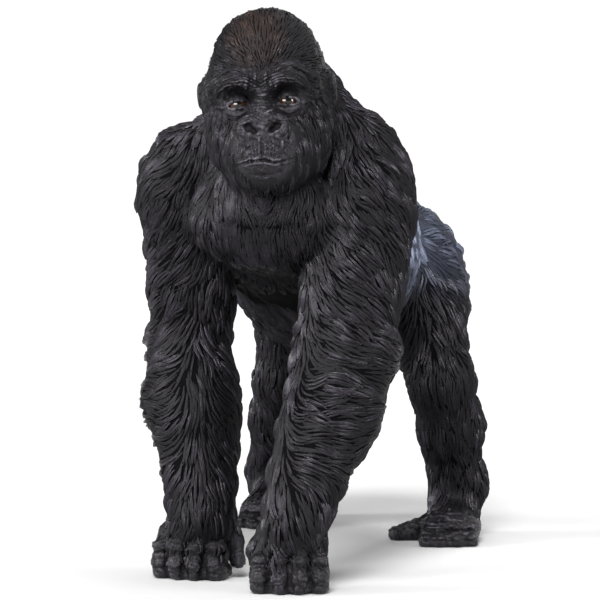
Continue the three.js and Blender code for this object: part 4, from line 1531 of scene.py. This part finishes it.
def make_eye(name, side):
    """An eyeball whose clear front bulges a little over the iris."""
    around, along = 48, 32
    turn, tilt = np.meshgrid(np.arange(around) * 2 * math.pi / around, np.arange(1, along) * math.pi / along)
    ring = vectors(np.sin(tilt) * np.cos(turn), -np.cos(tilt), np.sin(tilt) * np.sin(turn)).reshape(-1, 3)
    directions = np.concatenate([[(0, -1, 0)], ring, [(0, 1, 0)]])
    bulge = EYE_RADIUS + 0.05 * smooth(0.72, 0.95, -directions[:, 1])
    points = place(FACE, eye_centre(side)) + (directions * bulge[:, None]) @ HEAD[:3, :3].T
    triangles = []
    last = len(points) - 1
    for i in range(around):
        j = (i + 1) % around
        triangles += [(0, 1 + i, 1 + j), (last, last - around + j, last - around + i)]
        for k in range(along - 2):
            a, b = 1 + k * around + i, 1 + k * around + j
            triangles += [(a, a + around, b + around), (a, b + around, b)]
    paint = eye_paint(f"eye_paint_{name}", side)
    return add_mesh(f"eyeball_{name}", points, np.array(triangles)[:, ::-1], paint)


# ---------------- the studio
CAMERA_TURN, CAMERA_PITCH, CAMERA_DISTANCE = 15.0, 3.602, 0.45
CAMERA_AIM = np.array([9.0, -45.0, EYE_LEVEL])  # the camera stands CAMERA_DISTANCE in front of it, as high


def make_camera():
    data = bpy.data.cameras.new("camera")
    data.lens, data.sensor_width = 190.6, 36
    data.clip_start, data.clip_end = 0.01, 20
    camera = add_object("camera", data)
    turn = math.radians(CAMERA_TURN)
    behind = Vector((math.sin(turn), -math.cos(turn), 0)) * CAMERA_DISTANCE
    camera.location = Vector(in_row(CAMERA_AIM)) + behind
    camera.rotation_euler = (math.radians(90 - CAMERA_PITCH), 0, turn)
    bpy.context.scene.camera = camera


def make_floor():
    bpy.ops.mesh.primitive_plane_add(size=8, location=(0, 0, 0))
    floor = bpy.context.object
    floor.name = "floor"
    nodes = Nodes("floor_paper")
    nodes.feed(nodes.shader.inputs["Base Color"], nodes.blend(nodes.span(nodes.noise(6), 0.3, 0.7), *PAPER))
    nodes.shader.inputs["Roughness"].default_value = 0.9
    nodes.shader.inputs["Specular IOR Level"].default_value = 0.2
    floor.data.materials.append(nodes.material)


def add_light(name, towards, spread, power):
    """A large soft light far away, shining from a direction."""
    data = bpy.data.lights.new(name, "SUN")
    data.energy = power
    data.angle = math.radians(spread)
    add_object(name, data).rotation_euler = Vector(towards).to_track_quat("Z", "Y").to_euler()


def make_world():
    """Pale at eye level, as a studio's far wall is, and dim overhead."""
    world = bpy.data.worlds.new("studio")
    world.use_nodes = True
    tree = world.node_tree
    where = tree.nodes.new("ShaderNodeTexCoord")
    split = tree.nodes.new("ShaderNodeSeparateXYZ")
    fall = tree.nodes.new("ShaderNodeMapRange")
    tree.links.new(where.outputs["Generated"], split.inputs[0])
    tree.links.new(split.outputs["Z"], fall.inputs["Value"])
    tree.nodes["Background"].inputs["Color"].default_value = (1, 1, 1, 1)
    for name, value in (("From Min", 0.05), ("From Max", 0.14), ("To Min", 1.05), ("To Max", 0.06)):
        fall.inputs[name].default_value = value
    tree.links.new(fall.outputs["Result"], tree.nodes["Background"].inputs["Strength"])
    bpy.context.scene.world = world


def make_light():
    make_world()
    add_light("key", (0.1, -0.8, 0.8), 20, 5.0)
    for number, turn in enumerate(np.radians((-9, -21, -33)), 1):
        add_light(f"front_box_{number}", (math.sin(turn), -math.cos(turn), 0.16), 17, 1.25)
    add_light("right_box", (0.98, -0.25, 0.2), 20, 2.8)
    add_light("left_box", (-0.95, -0.4, 0.35), 20, 3.7)
    add_light("top", (0.1, 0.25, 1.0), 40, 1.8)
    add_light("back", (0.4, 1.0, 0.5), 40, 0.6)


# ---------------- the figure
def paint_skin(skin, points, triangles):
    """The markings; painted shade in the bare skin's hollows and on the skin that the coat hides; and lighter
    paint on the raised places, partly rubbed paint and partly painted highlight.
    """
    bare = 1 - fur(points, shares(part_distances(points)))
    hollow, raised = relief(points, bare)
    # The 'bare' attribute also carries the painted shade: it is 0 under the coat and in the hollows.
    for name, values in {**markings(points), "bare": bare * (1 - hollow), "raised": raised}.items():
        set_attribute(skin, name, values)
    # The skin that the coat hides gets its own material: painted shade, near black and almost without
    # reflection.
    skin.data.materials.append(painted_plastic("painted_shade_under_coat", False, 0.03))
    skin.data.polygons.foreach_set("material_index", (bare[triangles].max(axis=1) < 0.05).astype(np.int32))


def make_figure():
    points, triangles = make_skin_mesh()
    skin = add_mesh("skin", points, triangles, painted_plastic("bare_skin", False))
    paint_skin(skin, points, triangles)
    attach(skin, "root")
    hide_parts(*[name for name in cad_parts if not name.startswith("eye_")])
    for piece in make_coat(points, triangles, painted_plastic("sculpted_coat", True)):
        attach(piece, "root")
        "silver_coat" if "trunk_back" in piece.name else "black_coat"
    for name, limb in LIMBS.items():
        eye = make_eye(name, limb["side"])
        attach(eye, "root")
        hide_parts(f"eye_{name}")


make_camera()
make_floor()
make_light()
make_figure()
bpy.context.scene.view_settings.view_transform = "Standard"
bpy.context.view_layer.update()
